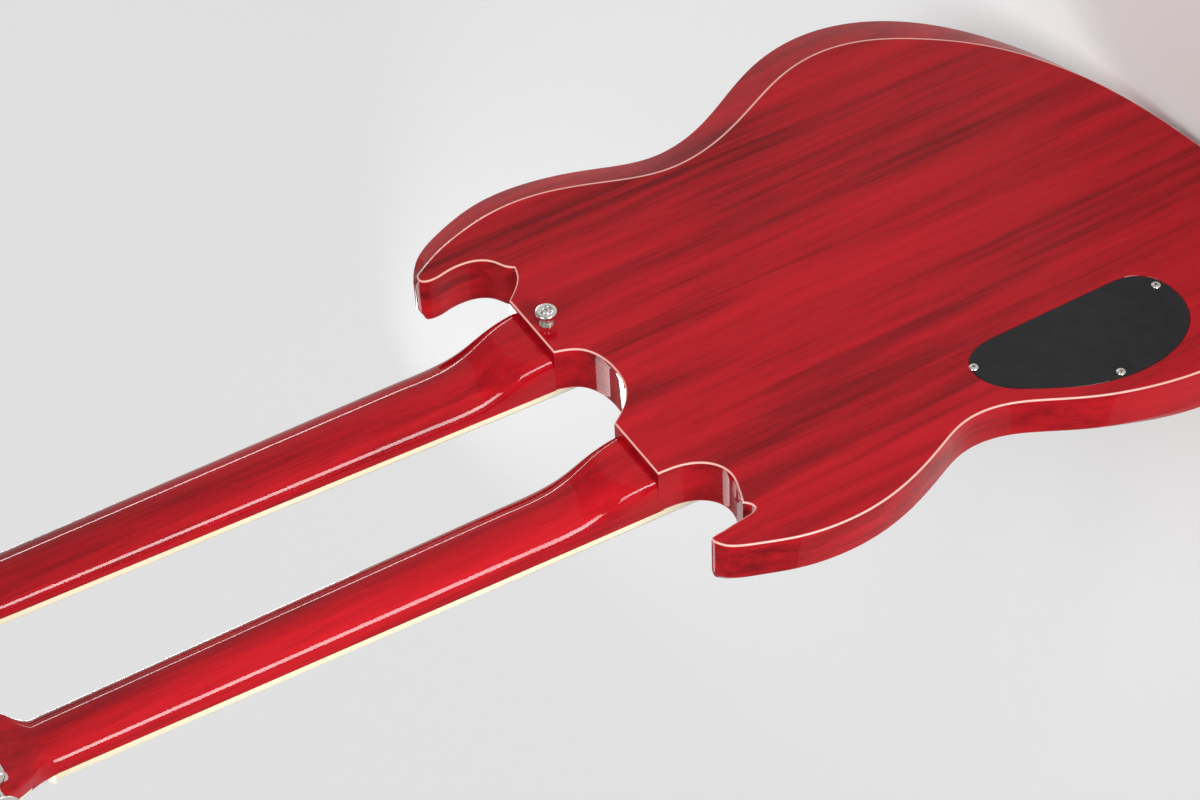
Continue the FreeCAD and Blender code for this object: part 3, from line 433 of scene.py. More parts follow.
def eased_loop(points, radius, steps=4):
    loop = eased([points[-1]] + list(points) + [points[0]], radius, steps)
    return loop[1:-1]


def circle(radius, count=40, ridges=0.0):
    """Round outline, with every other point drawn in where it is ridged."""
    points = []
    for place in range(count):
        angle = 2 * math.pi * place / count
        reach = radius - (ridges if place % 2 else 0)
        points.append((reach * math.cos(angle), reach * math.sin(angle)))
    return points


def rounded_rectangle(width, height, corner, steps=5):
    half, tall = width / 2, height / 2
    square = [(half, -tall), (half, tall), (-half, tall), (-half, -tall)]
    return [tuple(point) for point in eased_loop(square, corner, steps)]


def outward_ways(outline):
    """For each point of a closed outline, the way out of it, longer at sharp corners."""
    area = sum(a[0] * b[1] - b[0] * a[1] for a, b in zip(outline, outline[1:] + outline[:1]))
    turn = 1 if area > 0 else -1
    ways = []
    for place in range(len(outline)):
        before, here = Vector(outline[place - 1][:2]), Vector(outline[place][:2])
        after = Vector(outline[(place + 1) % len(outline)][:2])
        first, second = (here - before).normalized(), (after - here).normalized()
        ahead = (first + second).normalized()
        reach = 1 / max(0.5, ahead.dot(first))
        ways.append((ahead.y * turn * reach, -ahead.x * turn * reach))
    return ways


def inset(outline, amount):
    return [(point[0] - way[0] * amount, point[1] - way[1] * amount)
            for point, way in zip(outline, outward_ways(outline))]


def skin(rings, closed_ends=(True, True)):
    """A form whose surface runs through rings with like numbers of points."""
    count = len(rings[0])
    faces = []
    for row in range(len(rings) - 1):
        for place in range(count):
            after = (place + 1) % count
            faces.append((row * count + place, row * count + after,
                          (row + 1) * count + after, (row + 1) * count + place))
    last = (len(rings) - 1) * count
    if closed_ends[0]:
        faces.append(tuple(reversed(range(count))))
    if closed_ends[1]:
        faces.append(tuple(range(last, last + count)))
    return Form([corner for ring in rings for corner in ring], faces)


def flat_fill(outer, holes, height):
    """Flat triangles between an outline and the holes in it."""
    loops = [[Vector((x, y, 0)) for x, y in loop] for loop in [outer] + holes]
    corners = [(corner.x, corner.y, height) for loop in loops for corner in loop]
    return Form(corners, tessellate_polygon(loops))


def plate(outline, profile, hole=None, hole_profile=None):
    """A flat piece from its outline and (inset, height) profile, with a hole if one is given.

    A hole has its own profile, from the rim at the piece's top downwards; where that ends at
    the piece's base the hole runs through it.
    """
    rings = [[(x, y, height) for x, y in inset(outline, depth)] for depth, height in profile]
    form = skin(rings, (hole is None or hole_profile is not None, hole is None))
    if hole is None:
        return form
    top = profile[-1][1]
    outer = [point[:2] for point in rings[-1]]
    form.join(flat_fill(outer, [list(hole)], top))
    if hole_profile is None:
        base = profile[0][1]
        form.join(flat_fill([point[:2] for point in rings[0]], [list(hole)], base))
        wall = [[(x, y, top) for x, y in hole], [(x, y, base) for x, y in hole]]
        return form.join(skin(wall, (False, False)))
    steps = [[(x, y, top + height) for x, y in inset(hole, depth)]
             for depth, height in [(0, 0)] + list(hole_profile)]
    return form.join(skin(steps, (False, True)))


def edge_profile(low, high, low_radius, high_radius, steps=4):
    """(inset, height) profile of a slab's side with its two edges eased."""
    reach = max(low_radius, high_radius) * 1.06
    middle = (low + high) / 2
    run = eased([(reach, low), (0, low), (0, middle)], low_radius, steps)[:-1]
    run += eased([(0, middle), (0, high), (reach, high)], high_radius, steps)[1:]
    return [tuple(point) for point in run]


def slab(outline, low, high, low_radius=0.3, high_radius=0.8, steps=4):
    return plate(outline, edge_profile(low, high, low_radius, high_radius, steps))


def turned(profile, count=40):
    """A turned piece about local Z from its (radius, height) profile."""
    rings = [[(x, y, height) for x, y in circle(radius, count)] for radius, height in profile]
    return skin(rings, (profile[0][0] > 0, profile[-1][0] > 0))


def rod(radius, low, high, count=28):
    return turned([(0, low), (radius, low), (radius, high), (0, high)], count)


def washer(inner, outer, top, count, low=0.02):
    return turned([(inner, low), (outer, low), (outer, top), (inner, top), (inner, low)], count)


def turned_with_recess(profile, recess, depth, count=32):
    """A turned piece whose flat top has a driver's recess."""
    radius, top = profile[-1]
    rings = [[(x, y, height) for x, y in circle(reach, count)] for reach, height in profile]
    form = skin(rings, (profile[0][0] > 0, False))
    form.join(flat_fill(circle(radius, count), [list(recess)], top))
    steps = [[(x, y, top) for x, y in recess],
             [(x * 0.75, y * 0.75, top - depth) for x, y in recess]]
    return form.join(skin(steps, (False, True)))


def cross_recess(radius):
    """Outline of a cross-shaped driver recess."""
    arm, waist = radius, radius * 0.22
    return [(arm, -waist), (arm, waist), (waist, waist), (waist, arm), (-waist, arm),
            (-waist, waist), (-arm, waist), (-arm, -waist), (-waist, -waist),
            (-waist, -arm), (waist, -arm), (waist, -waist)]


def slot_recess(length, width):
    return [(length, -width), (length, width), (-length, width), (-length, -width)]


def swept(path, radius, sides=10):
    """A round bar along a path of points."""
    path = [Vector(point) for point in path]
    rings = []
    for place, point in enumerate(path):
        before = path[max(place - 1, 0)]
        after = path[min(place + 1, len(path) - 1)]
        ahead = (after - before).normalized()
        across = ahead.cross(Vector((0, 1, 0))).normalized()
        up = across.cross(ahead).normalized()
        rings.append([point + across * (radius * math.cos(2 * math.pi * step / sides))
                      + up * (radius * math.sin(2 * math.pi * step / sides))
                      for step in range(sides)])
    return skin(rings)


def shade_smooth(mesh, sharp):
    mesh.polygons.foreach_set("use_smooth", [True] * len(mesh.polygons))
    mesh.set_sharp_from_angle(angle=math.radians(sharp))


def move_to(mesh, place):
    """Puts a mesh in metres at a place in millimetres."""
    spot = place.copy()
    spot.translation *= MM
    mesh.transform(spot)


def finish_mesh(mesh, sharp):
    shell = bmesh.new()
    shell.from_mesh(mesh)
    bmesh.ops.remove_doubles(shell, verts=shell.verts, dist=0.002 * MM)
    bmesh.ops.dissolve_degenerate(shell, edges=shell.edges, dist=0.001 * MM)
    bmesh.ops.recalc_face_normals(shell, faces=shell.faces)
    shell.to_mesh(mesh)
    shell.free()
    shade_smooth(mesh, sharp)


def mesh_of(name, form, sharp=35.0):
    mesh = bpy.data.meshes.new(name)
    mesh.from_pydata([corner * MM for corner in form.corners], [], form.faces)
    mesh.polygons.foreach_set("material_index", form.finishes)
    finish_mesh(mesh, sharp)
    return mesh


def piece(name, mesh, slots, body=WHOLE, nodes=()):
    """Makes a mesh into a piece of the guitar that rides on a body."""
    if mesh.materials:
        mesh.materials.clear()
    for slot in slots:
        mesh.materials.append(material(slot))
    made = bpy.data.objects.new(name, mesh)
    bpy.context.scene.collection.objects.link(made)
    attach(made, body)
    if nodes:
        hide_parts(*nodes)
    return made


def fixed_piece(name, form, slots, node, sharp=35.0):
    """Makes a form into the fixed piece that stands for a CAD node."""
    piece(name, mesh_of(name, form, sharp), slots, nodes=[node])


def refined(name, node, slot, width, sharp=35.0):
    """A merged copy of a CAD node with its edges eased, standing for the node."""
    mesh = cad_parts[node].data.copy()
    shell = bmesh.new()
    shell.from_mesh(mesh)
    bmesh.ops.remove_doubles(shell, verts=shell.verts, dist=0.005 * MM)
    bmesh.ops.dissolve_limit(shell, angle_limit=math.radians(1), verts=shell.verts,
                             edges=shell.edges)
    edges = [edge for edge in shell.edges
             if len(edge.link_faces) == 2 and edge.calc_face_angle(0) > math.radians(sharp)]
    bmesh.ops.bevel(shell, geom=edges, offset=width * MM, segments=2, profile=0.5,
                    affect="EDGES", clamp_overlap=True)
    shell.to_mesh(mesh)
    shell.free()
    shade_smooth(mesh, sharp)
    return piece(name, mesh, [slot], nodes=[node])


class Wire:
    """A node's output that takes part in Python sums."""

    def __init__(self, board, socket):
        self.board = board
        self.socket = socket

    def sum(self, operation, first, second):
        return self.board.node("ShaderNodeMath", {"operation": operation}, {0: first, 1: second})

    def __add__(self, other):
        return self.sum("ADD", self, other)

    __radd__ = __add__

    def __sub__(self, other):
        return self.sum("SUBTRACT", self, other)

    def __rsub__(self, other):
        return self.sum("SUBTRACT", other, self)

    def __mul__(self, other):
        return self.sum("MULTIPLY", self, other)

    __rmul__ = __mul__

    def __truediv__(self, other):
        return self.sum("DIVIDE", self, other)

    def __rtruediv__(self, other):
        return self.sum("DIVIDE", other, self)

    def __pow__(self, other):
        return self.sum("POWER", self, other)

    def __rpow__(self, other):
        return self.sum("POWER", other, self)

    def over(self, level, slope):
        """How far this rises over a level, on a slope, held between 0 and 1."""
        return self.board.node("ShaderNodeMath", {"operation": "MULTIPLY", "use_clamp": True},
                               {0: self - level, 1: slope})


class Board:
    """A node tree that is written from Python."""

    def __init__(self, tree):
        self.tree = tree

    def node(self, kind, settings=None, inputs=None, output=0):
        made = self.tree.nodes.new(kind)
        for name, value in (settings or {}).items():
            if name == "stops":
                self.set_stops(made.color_ramp, value)
            else:
                setattr(made, name, value)
        for key, value in (inputs or {}).items():
            if isinstance(value, Wire):
                self.tree.links.new(value.socket, made.inputs[key])
            else:
                made.inputs[key].default_value = value
        return Wire(self, made.outputs[output] if made.outputs else None)

    def set_stops(self, ramp, stops):
        while len(ramp.elements) < len(stops):
            ramp.elements.new(1.0)
        for element, (place, colour) in zip(ramp.elements, stops):
            element.position = place
            element.color = opaque(colour)

    def place(self, scale=(1, 1, 1), turn=(0, 0, 0)):
        """Object coordinates, stretched and turned."""
        spot = self.node("ShaderNodeTexCoord", output="Object")
        return self.node("ShaderNodeMapping", {}, {"Vector": spot, "Scale": scale,
                                                   "Rotation": turn})

    def noise(self, spot, scale, detail=4.0, roughness=0.55, distortion=0.0):
        return self.node("ShaderNodeTexNoise", {}, {
            "Vector": spot, "Scale": scale, "Detail": detail, "Roughness": roughness,
            "Distortion": distortion})

    def mix(self, share, *pair):
        """A colour between two."""
        first, second = (part if isinstance(part, Wire) else opaque(part) for part in pair)
        return self.node("ShaderNodeMix", {"data_type": "RGBA"},
                         {0: share, 6: first, 7: second}, 2)


def opaque(colour):
    return (*tuple(colour)[:3], 1.0)


def scaled(colour, amount):
    return tuple(min(1.0, part * amount) for part in tuple(colour)[:3])


def surface(board, colour, roughness, height=None, strength=0.2, depth=0.0003, **constants):
    """Joins a colour, a roughness and a relief into the material's shader."""
    inputs = {"Base Color": colour, "Roughness": roughness}
    if height is not None:
        inputs["Normal"] = board.node("ShaderNodeBump", {}, {
            "Strength": strength, "Distance": depth, "Height": height})
    for name, value in constants.items():
        inputs[name.replace("_", " ")] = value
    shader = board.node("ShaderNodeBsdfPrincipled", {}, inputs)
    board.node("ShaderNodeOutputMaterial", {}, {"Surface": shader})


def scratches(board, scale=260.0, level=0.66):
    """Fine crossing hairlines, from 0 to 1, as handling leaves in a gloss surface."""
    first = board.noise(board.place((1, 1, 0.04), (0.5, 0.9, 0.2)), scale, 2.0, 0.5)
    second = board.noise(board.place((0.04, 1, 1), (0.3, 0.4, 1.1)), scale * 1.2, 2.0, 0.5)
    return first.over(level, 9.0) + second.over(level, 9.0)


def lacquered_wood(board):
    """Stained mahogany under clear gloss: streaks, pores, flecks, a worn coat, painted rim
    highlights.
    """
    light, dark = colours().cherry, colours().dark_cherry
    along = board.place((1, 1, 0.045), (0, 0.02, 0))
    wander = board.noise(board.place((1, 1, 0.25)), 7.0, 2.0)
    broad = board.noise(along, 42.0, 4.0, 0.55, 0.35)
    streak = board.noise(along, 165.0, 5.0, 0.62, 0.25)
    pore = board.noise(board.place((1, 1, 0.018), (0, 0.02, 0)), 1500.0, 2.0, 0.5)
    fleck = board.noise(board.place((1, 1, 0.12)), 620.0, 3.0, 0.6)
    figure = broad * 0.45 + streak * 0.35 + wander * 0.2
    tone = board.node("ShaderNodeValToRGB", {"stops": [
        (0.36, scaled(light, 0.35)), (0.43, scaled(light, 0.66)), (0.50, scaled(light, 0.92)),
        (0.62, scaled(light, 1.18))]}, {"Fac": figure})
    shade = board.noise(board.place((1, 1, 0.10), (0, 0.03, 0)), 24.0, 5.0, 0.62, 0.4)
    tone = board.mix(shade.over(0.56, 6.0) * 0.75, tone, dark)
    tone = board.mix(fleck.over(0.56, 2.4) * 0.3, tone, scaled(light, 1.35))
    tone = board.mix(pore.over(0.6, 7.0) * 0.5, tone, scaled(dark, 0.5))
    marks = scratches(board)
    haze = board.noise(board.place(), 11.0, 4.0, 0.6)
    # Painted highlight: pale colour laid along the crests of the body's rounded rims, broken up by
    # the haze noise
    rim = board.node("ShaderNodeAttribute", {"attribute_name": "rim"}, output="Fac")
    tone = board.mix(rim.over(0.15, 2.0) * (haze * 0.5 + 0.55), tone, colours().painted_rim_highlight)
    roughness = 0.30 + haze * 0.12 + marks * 0.10
    relief = streak * 0.12 + pore.over(0.6, 7.0) * -0.12 + haze * 0.6
    surface(board, tone, roughness, relief, 0.08, 0.0004, Coat_Weight=0.9 + haze * 0.1,
            Coat_Roughness=0.03, Coat_IOR=1.27, Specular_IOR_Level=0.0)


def oiled_rosewood(board):
    """Dark open-grained board wood with paler streaks, pores and a patchy polish."""
    base = colours().board
    along = board.place((1, 1, 0.05))
    streak = board.noise(along, 190.0, 5.0, 0.6, 0.3)
    broad = board.noise(along, 55.0, 3.0, 0.5, 0.3)
    pore = board.noise(board.place((1, 1, 0.03)), 2100.0, 2.0, 0.5)
    tone = board.node("ShaderNodeValToRGB", {"stops": [
        (0.36, scaled(base, 0.35)), (0.5, base), (0.66, scaled(base, 2.1))]},
        {"Fac": streak * 0.6 + broad * 0.4})
    tone = board.mix(pore.over(0.58, 8.0) * 0.8, tone, scaled(base, 0.16))
    worn = board.noise(board.place(), 30.0, 3.0)
    surface(board, tone, 0.42 + worn * 0.25, pore.over(0.58, 8.0) * -1.0 + streak * 0.3, 0.35,
            0.0003)


def pearl(board):
    """Pearl plastic: clouded bands of pale tints, with a hard gloss."""
    swirl = board.noise(board.place((1, 1, 0.7)), 95.0, 3.0, 0.5, 2.2)
    bands = board.noise(board.place((1, 1, 0.35), (0.3, 0.2, 0.1)), 210.0, 2.0, 0.5, 3.0)
    tone = board.node("ShaderNodeValToRGB", {"stops": [
        (0.34, (0.46, 0.50, 0.50)), (0.45, (0.74, 0.76, 0.72)), (0.54, (0.88, 0.86, 0.78)),
        (0.66, (0.63, 0.70, 0.70))]}, {"Fac": swirl * 0.6 + bands * 0.4})
    surface(board, tone, 0.16 + bands * 0.18, swirl, 0.05, 0.0002, Coat_Weight=0.6)


def plated(board, tint=1.0, gloss=0.13, brush=0.0):
    """Nickel plate: a soft warm tint in patches, tarnish, hairlines and handling marks."""
    base = scaled(colours().plating, tint)
    patch = board.noise(board.place(), 65.0, 5.0, 0.6)
    tarnish = board.noise(board.place(), 420.0, 4.0, 0.65)
    warm = (base[0] * 0.9, base[1] * 0.84, base[2] * 0.74)
    tone = board.mix(patch.over(0.42, 2.0) * 0.6, base, warm)
    tone = board.mix(tarnish.over(0.62, 5.0) * 0.35, tone, scaled(base, 0.45))
    marks = scratches(board, 520.0)
    drawn = board.noise(board.place((1, 0.02, 1)), 1800.0, 2.0) if brush else 0.0
    roughness = gloss + patch * 0.08 + tarnish.over(0.55, 3.0) * 0.12 + marks * 0.12
    roughness = roughness + drawn * brush
    surface(board, tone, roughness, tarnish * 0.4 + marks * -0.5, 0.06, 0.0001, Metallic=1.0)


def wound_wire(board):
    """Wound and plain string wire: bright windings with darker grooves."""
    base = scaled(colours().plating, 1.02)
    spot = board.place()
    wrap = board.node("ShaderNodeTexWave", {"bands_direction": "Z"}, {
        "Vector": spot, "Scale": 950.0, "Distortion": 0.0}, "Fac")
    patch = board.noise(board.place((1, 1, 0.1)), 240.0, 3.0)
    tone = board.mix(wrap * 0.35, base, scaled(base, 0.55))
    tone = board.mix(patch.over(0.55, 4.0) * 0.3, tone, (0.55, 0.45, 0.30))
    surface(board, tone, 0.24 + patch * 0.15, wrap, 0.3, 0.0001, Metallic=1.0)


def plastic(board, base, gloss=0.16, speck=1.3, coat=0.5):
    """Moulded or sheet plastic: faint mottle, dust-fine specks, hairlines and worn patches."""
    mottle = board.noise(board.place(), 90.0, 4.0, 0.6)
    dust = board.noise(board.place(), 1300.0, 2.0, 0.5)
    tone = board.mix(mottle.over(0.4, 2.2) * 0.7, base, scaled(base, speck))
    tone = board.mix(dust.over(0.64, 6.0) * 0.25, tone, scaled(base, 0.7))
    marks = scratches(board, 340.0)
    worn = board.noise(board.place(), 16.0, 3.0, 0.5)
    surface(board, tone, gloss + worn * 0.12 + marks * 0.15, mottle * 0.5 + marks * -0.6, 0.06,
            0.0002, Coat_Weight=coat, Coat_Roughness=0.05, Coat_IOR=1.3, Specular_IOR_Level=0.05)


def aged_cream(board):
    """Cream binding: yellowed in patches, darker where hands rub it, with pin specks."""
    base = colours().cream
    yellowed = board.noise(board.place((1, 1, 0.3)), 34.0, 4.0, 0.6)
    grime = board.noise(board.place((1, 1, 0.15)), 310.0, 4.0, 0.65)
    tone = board.mix(yellowed.over(0.4, 2.5) * 0.55, base,
                     (base[0] * 0.95, base[1] * 0.86, base[2] * 0.68))
    tone = board.mix(grime.over(0.62, 5.0) * 0.4, tone, scaled(base, 0.55))
    surface(board, tone, 0.20 + grime * 0.2, grime, 0.05, 0.0002, Coat_Weight=0.7,
            Coat_Roughness=0.05)


def polished_bone(board):
    """Bone: faint fibres along it, tiny pits and a soft polish."""
    fibre = board.noise(board.place((0.08, 1, 1)), 900.0, 3.0, 0.5)
    pit = board.noise(board.place(), 2600.0, 2.0, 0.5)
    tone = board.mix(fibre.over(0.45, 2.0) * 0.5, (0.86, 0.82, 0.72), (0.72, 0.65, 0.50))
    tone = board.mix(pit.over(0.66, 7.0) * 0.5, tone, (0.45, 0.38, 0.27))
    surface(board, tone, 0.34 + fibre * 0.15, pit * -1.0, 0.1, 0.0001)


def layered_sheet(board):
    """Black sheet with a thin white ply that shows on its bevelled edge."""
    spot = board.node("ShaderNodeTexCoord", output="Object")
    depth = board.node("ShaderNodeSeparateXYZ", {}, {"Vector": spot}, "Y")
    level = (front_y * MM - depth) / (guard_thickness * MM)
    ply = level.over(0.30, 60.0) * (1 - level.over(0.48, 60.0))
    mottle = board.noise(board.place(), 60.0, 4.0, 0.6)
    black = board.mix(mottle.over(0.4, 2.0), (0.010, 0.010, 0.011), (0.019, 0.018, 0.018))
    tone = board.mix(ply, black, (0.78, 0.75, 0.67))
    marks = scratches(board, 300.0, 0.63)
    surface(board, tone, 0.14 + mottle * 0.1 + marks * 0.22, marks * -1.0, 0.06, 0.0001,
            Coat_Weight=0.6, Coat_Roughness=0.05, Coat_IOR=1.3, Specular_IOR_Level=0.1)


def black_face(board):
    """Black lacquered face of a head, with polishing haze and fine hairlines."""
    plastic(board, (0.012, 0.011, 0.011), 0.12, 1.6, 0.9)


FINISHES = {
    "body_finish": lacquered_wood,
    "neck_finish": lacquered_wood,
    "head_face": black_face,
    "rosewood": oiled_rosewood,
    "cream_binding": aged_cream,
    "fret_metal": lambda board: plated(board, 1.05, 0.16, 0.1),
    "pearl_inlay": pearl,
    "bone": polished_bone,
    "string_metal": wound_wire,
    "tuner_metal": plated,
    "pickup_cover": lambda board: plated(board, 1.0, 0.10),
    "ring_plastic": lambda board: plastic(board, (0.014, 0.014, 0.014), 0.30, 1.7, 0.1),
    "bridge_metal": lambda board: plated(board, 0.98, 0.15),
    "guard_plastic": layered_sheet,
    "cover_plastic": lambda board: plastic(board, (0.009, 0.009, 0.010), 0.14, 1.8, 0.8),
    "switch_metal": lambda board: plated(board, 0.9, 0.22, 0.15),
    "button_metal": lambda board: plated(board, 1.05, 0.12),
    "knob_plastic": lambda board: plastic(board, (0.012, 0.012, 0.013), 0.18, 1.8, 0.5),
    "lever_plastic": aged_cream,
}


def bare_board(owner):
    """The node tree of a material or a world, emptied."""
    owner.use_nodes = True
    owner.node_tree.nodes.clear()
    return Board(owner.node_tree)


def material(name):
    """The material of a finish, made when it is first asked for."""
    label = f"{name}_look"
    if label not in bpy.data.materials:
        FINISHES[name](bare_board(bpy.data.materials.new(label)))
    return bpy.data.materials[label]


def new_tree(name, numbers=(), objects=(), whole=()):
    """An empty geometry node tree, and its named inputs."""
    tree = bpy.data.node_groups.new(name, "GeometryNodeTree")
    sockets = {"Geometry": "NodeSocketGeometry"}
    sockets.update({label: "NodeSocketFloat" for label in numbers})
    sockets.update({label: "NodeSocketInt" for label in whole})
    sockets.update({label: "NodeSocketObject" for label in objects})
    sockets["Material"] = "NodeSocketMaterial"
    for label, kind in sockets.items():
        tree.interface.new_socket(label, in_out="INPUT", socket_type=kind)
    tree.interface.new_socket("Geometry", in_out="OUTPUT", socket_type="NodeSocketGeometry")
    board = Board(tree)
    start = tree.nodes.new("NodeGroupInput")
    inputs = {socket.name: Wire(board, socket) for socket in start.outputs if socket.name}
    return board, inputs


def close_tree(board, geometry, finish):
    """Ends a tree in plain geometry with its material."""
    real = board.node("GeometryNodeRealizeInstances", {}, {"Geometry": geometry})
    dressed = board.node("GeometryNodeSetMaterial", {}, {"Geometry": real, "Material": finish})
    board.node("NodeGroupOutput", {}, {"Geometry": dressed})
    return board.tree


def fret_tree():
    """Bars on the frets' places, as wide as the board there and bent to its arch."""
    board, given = new_tree(
        "frets", ("Scale length", "Nut height", "Foot height", "Nut half width",
                  "Foot half width", "Arch radius", "Base"), ("Bar",), ("Count",))
    points = board.node("GeometryNodeMeshLine", {"mode": "OFFSET"}, {"Count": given["Count"]})
    number = board.node("GeometryNodeInputIndex") + 1.0
    height = given["Nut height"] - given["Scale length"] * (1.0 - 2.0 ** (number / -12.0))
    run = (given["Nut height"] - height) / (given["Nut height"] - given["Foot height"])
    half = given["Nut half width"] + run * (given["Foot half width"] - given["Nut half width"])
    spot = board.node("ShaderNodeCombineXYZ", {}, {"Z": height})
    points = board.node("GeometryNodeSetPosition", {}, {"Geometry": points, "Position": spot})
    wide = board.node("ShaderNodeCombineXYZ", {}, {"X": half, "Y": 1.0, "Z": 1.0})
    kept = board.node("GeometryNodeCaptureAttribute", {}, {"Geometry": points})
    bar = board.node("GeometryNodeObjectInfo", {}, {"Object": given["Bar"]}, "Geometry")
    laid = board.node("GeometryNodeInstanceOnPoints", {}, {"Points": kept, "Instance": bar,
                                                           "Scale": wide})
    real = board.node("GeometryNodeRealizeInstances", {}, {"Geometry": laid})
    place = board.node("GeometryNodeInputPosition")
    across = board.node("ShaderNodeSeparateXYZ", {}, {"Vector": place}, "X")
    drop = across * across / (given["Arch radius"] * 2.0) + given["Base"]
    moved = board.node("ShaderNodeCombineXYZ", {}, {"Y": drop})
    bent = board.node("GeometryNodeSetPosition", {}, {"Geometry": real, "Offset": moved})
    return close_tree(board, bent, given["Material"])


def screw_tree():
    """Screw heads on points, each facing along the point's way out and turned at random."""
    board, given = new_tree("screws", ("Head radius",), ("Screw",), ("Seed",))
    way = board.node("GeometryNodeInputNamedAttribute", {"data_type": "FLOAT_VECTOR"},
                     {"Name": "way_out"})
    facing = board.node("FunctionNodeAlignRotationToVector", {"axis": "Z"}, {"Vector": way})
    turn = board.node("FunctionNodeRandomValue", {"data_type": "FLOAT"},
                      {2: 0.0, 3: 2 * math.pi, "Seed": given["Seed"]}, 1)
    spin = board.node("FunctionNodeAxisAngleToRotation", {}, {"Axis": (0, 0, 1), "Angle": turn})
    turned_to = board.node("FunctionNodeRotateRotation", {"rotation_space": "LOCAL"},
                           {"Rotation": facing, "Rotate By": spin})
    head = board.node("GeometryNodeObjectInfo", {}, {"Object": given["Screw"]}, "Geometry")
    size = board.node("ShaderNodeCombineXYZ", {}, {axis: given["Head radius"] for axis in "XYZ"})
    laid = board.node("GeometryNodeInstanceOnPoints", {}, {
        "Points": given["Geometry"], "Instance": head, "Rotation": turned_to, "Scale": size})
    return close_tree(board, laid, given["Material"])


def coil_tree():
    """A string wound round its post."""
    board, given = new_tree("string_coil", ("Turns", "Coil radius", "String radius"))
    coil = board.node("GeometryNodeCurveSpiral", {}, {
        "Resolution": 28, "Rotations": given["Turns"], "Start Radius": given["Coil radius"],
        "End Radius": given["Coil radius"],
        "Height": given["Turns"] * given["String radius"] * winding_pitch_in_radii})
    wire = board.node("GeometryNodeCurvePrimitiveCircle", {"mode": "RADIUS"},
                      {"Resolution": 8, "Radius": given["String radius"]})
    tube = board.node("GeometryNodeCurveToMesh", {}, {"Curve": coil, "Profile Curve": wire,
                                                      "Fill Caps": True})
    return close_tree(board, tube, given["Material"])


def rib_tree():
    """A rib on each place of a ring, for knurled wheels and gripped knobs."""
    board, given = new_tree("ribs", ("Ring radius", "Height"), ("Rib",), ("Count",))
    ring = board.node("GeometryNodeMeshCircle", {}, {"Vertices": given["Count"],
                                                     "Radius": given["Ring radius"]})
    lift = board.node("ShaderNodeCombineXYZ", {}, {"Z": given["Height"]})
    ring = board.node("GeometryNodeSetPosition", {}, {"Geometry": ring, "Offset": lift})
    angle = (board.node("GeometryNodeInputIndex") * (2 * math.pi)) / given["Count"]
    turn = board.node("ShaderNodeCombineXYZ", {}, {"Z": angle})
    rib = board.node("GeometryNodeObjectInfo", {}, {"Object": given["Rib"]}, "Geometry")
    laid = board.node("GeometryNodeInstanceOnPoints", {}, {"Points": ring, "Instance": rib,
                                                           "Rotation": turn})
    return close_tree(board, laid, given["Material"])


def tree(name):
    """A named tree, made when it is first asked for."""
    makers = {"frets": fret_tree, "screws": screw_tree, "string_coil": coil_tree,
              "ribs": rib_tree}
    return bpy.data.node_groups.get(name) or makers[name]()


def spare(name, form, sharp=35.0):
    """A form as an object that only node trees use."""
    made = bpy.data.objects.new(name, mesh_of(name, form, sharp))
    bpy.context.scene.collection.objects.link(made)
    return made


def grown(name, base, tree_name, values):
    """The plain mesh that a node tree makes of a base mesh."""
    group = tree(tree_name)
    holder = bpy.data.objects.new(name, base)
    change = holder.modifiers.new(tree_name, "NODES")
    change.node_group = group
    for item in group.interface.items_tree:
        if item.in_out == "INPUT" and item.name in values:
            change[item.identifier] = values[item.name]
    bpy.context.scene.collection.objects.link(holder)
    graph = bpy.context.evaluated_depsgraph_get()
    mesh = bpy.data.meshes.new_from_object(holder.evaluated_get(graph), depsgraph=graph)
    bpy.data.objects.remove(holder)
    mesh.name = name
    if not len(mesh.vertices):
        raise RuntimeError(f"the tree {tree_name} made nothing for {name}")
    return mesh


def points_mesh(name, places):
    """Loose points in metres, each with the way that its screw faces."""
    mesh = bpy.data.meshes.new(name)
    mesh.from_pydata([Vector(point) * MM for point, way in places], [], [])
    ways = mesh.attributes.new("way_out", "FLOAT_VECTOR", "POINT")
    ways.data.foreach_set("vector", [part for point, way in places for part in way])
    return mesh


def add_screws(name, places, head, radius, slot, body=WHOLE):
    """Screws at (point, way out) places, in millimetres, as one piece."""
    mesh = grown(name, points_mesh(name + "_points", places), "screws", {
        "Head radius": radius * MM, "Screw": head, "Seed": sizes().screw_seed,
        "Material": material(slot)})
    return piece(name, mesh, [slot], body)


def driver_head(name, profile, recess, depth, count):
    """A round screw head of unit radius with a driver's recess, as an object."""
    found = bpy.data.objects.get(name)
    if found:
        return found
    form = turned_with_recess([(radius / MM, height / MM) for radius, height in profile],
                              [(x / MM, y / MM) for x, y in recess], depth / MM, count)
    return spare(name, form, 30.0)


def screw_head():
    profile = [(1.0, -0.25), (1.0, 0.0), (0.97, 0.14), (0.88, 0.30), (0.72, 0.42), (0.62, 0.45)]
    return driver_head("screw_head", profile, cross_recess(0.46), 0.3, 24)


def slotted_head():
    profile = [(1.0, -0.25), (1.0, 0.1), (0.94, 0.2), (0.8, 0.26)]
    return driver_head("slotted_head", profile, slot_recess(0.7, 0.13), 0.18, 20)


def way_of(place):
    """The way that a plane's local Z faces."""
    return tuple(place.to_3x3() @ Vector((0, 0, 1)))


def board_half_width(side, z):
    run = (nut_z - z) / (nut_z + board_overhang)
    return (nut_width[side] + run * (board_end_width[side] - nut_width[side])) / 2


def fret_z(number):
    return nut_z - scale_length * (1 - 2 ** (-number / 12))


def arch_drop(x):
    return x * x / (2 * board_radius)


def string_height(z):
    """Height of a string's underside over the underside of the board, along the neck."""
    at_nut = board_thickness + fret_height + string_lift_at_nut
    at_bridge = board_thickness + fret_height + string_lift_at_bridge
    return at_nut + (at_bridge - at_nut) * (nut_z - z) / scale_length


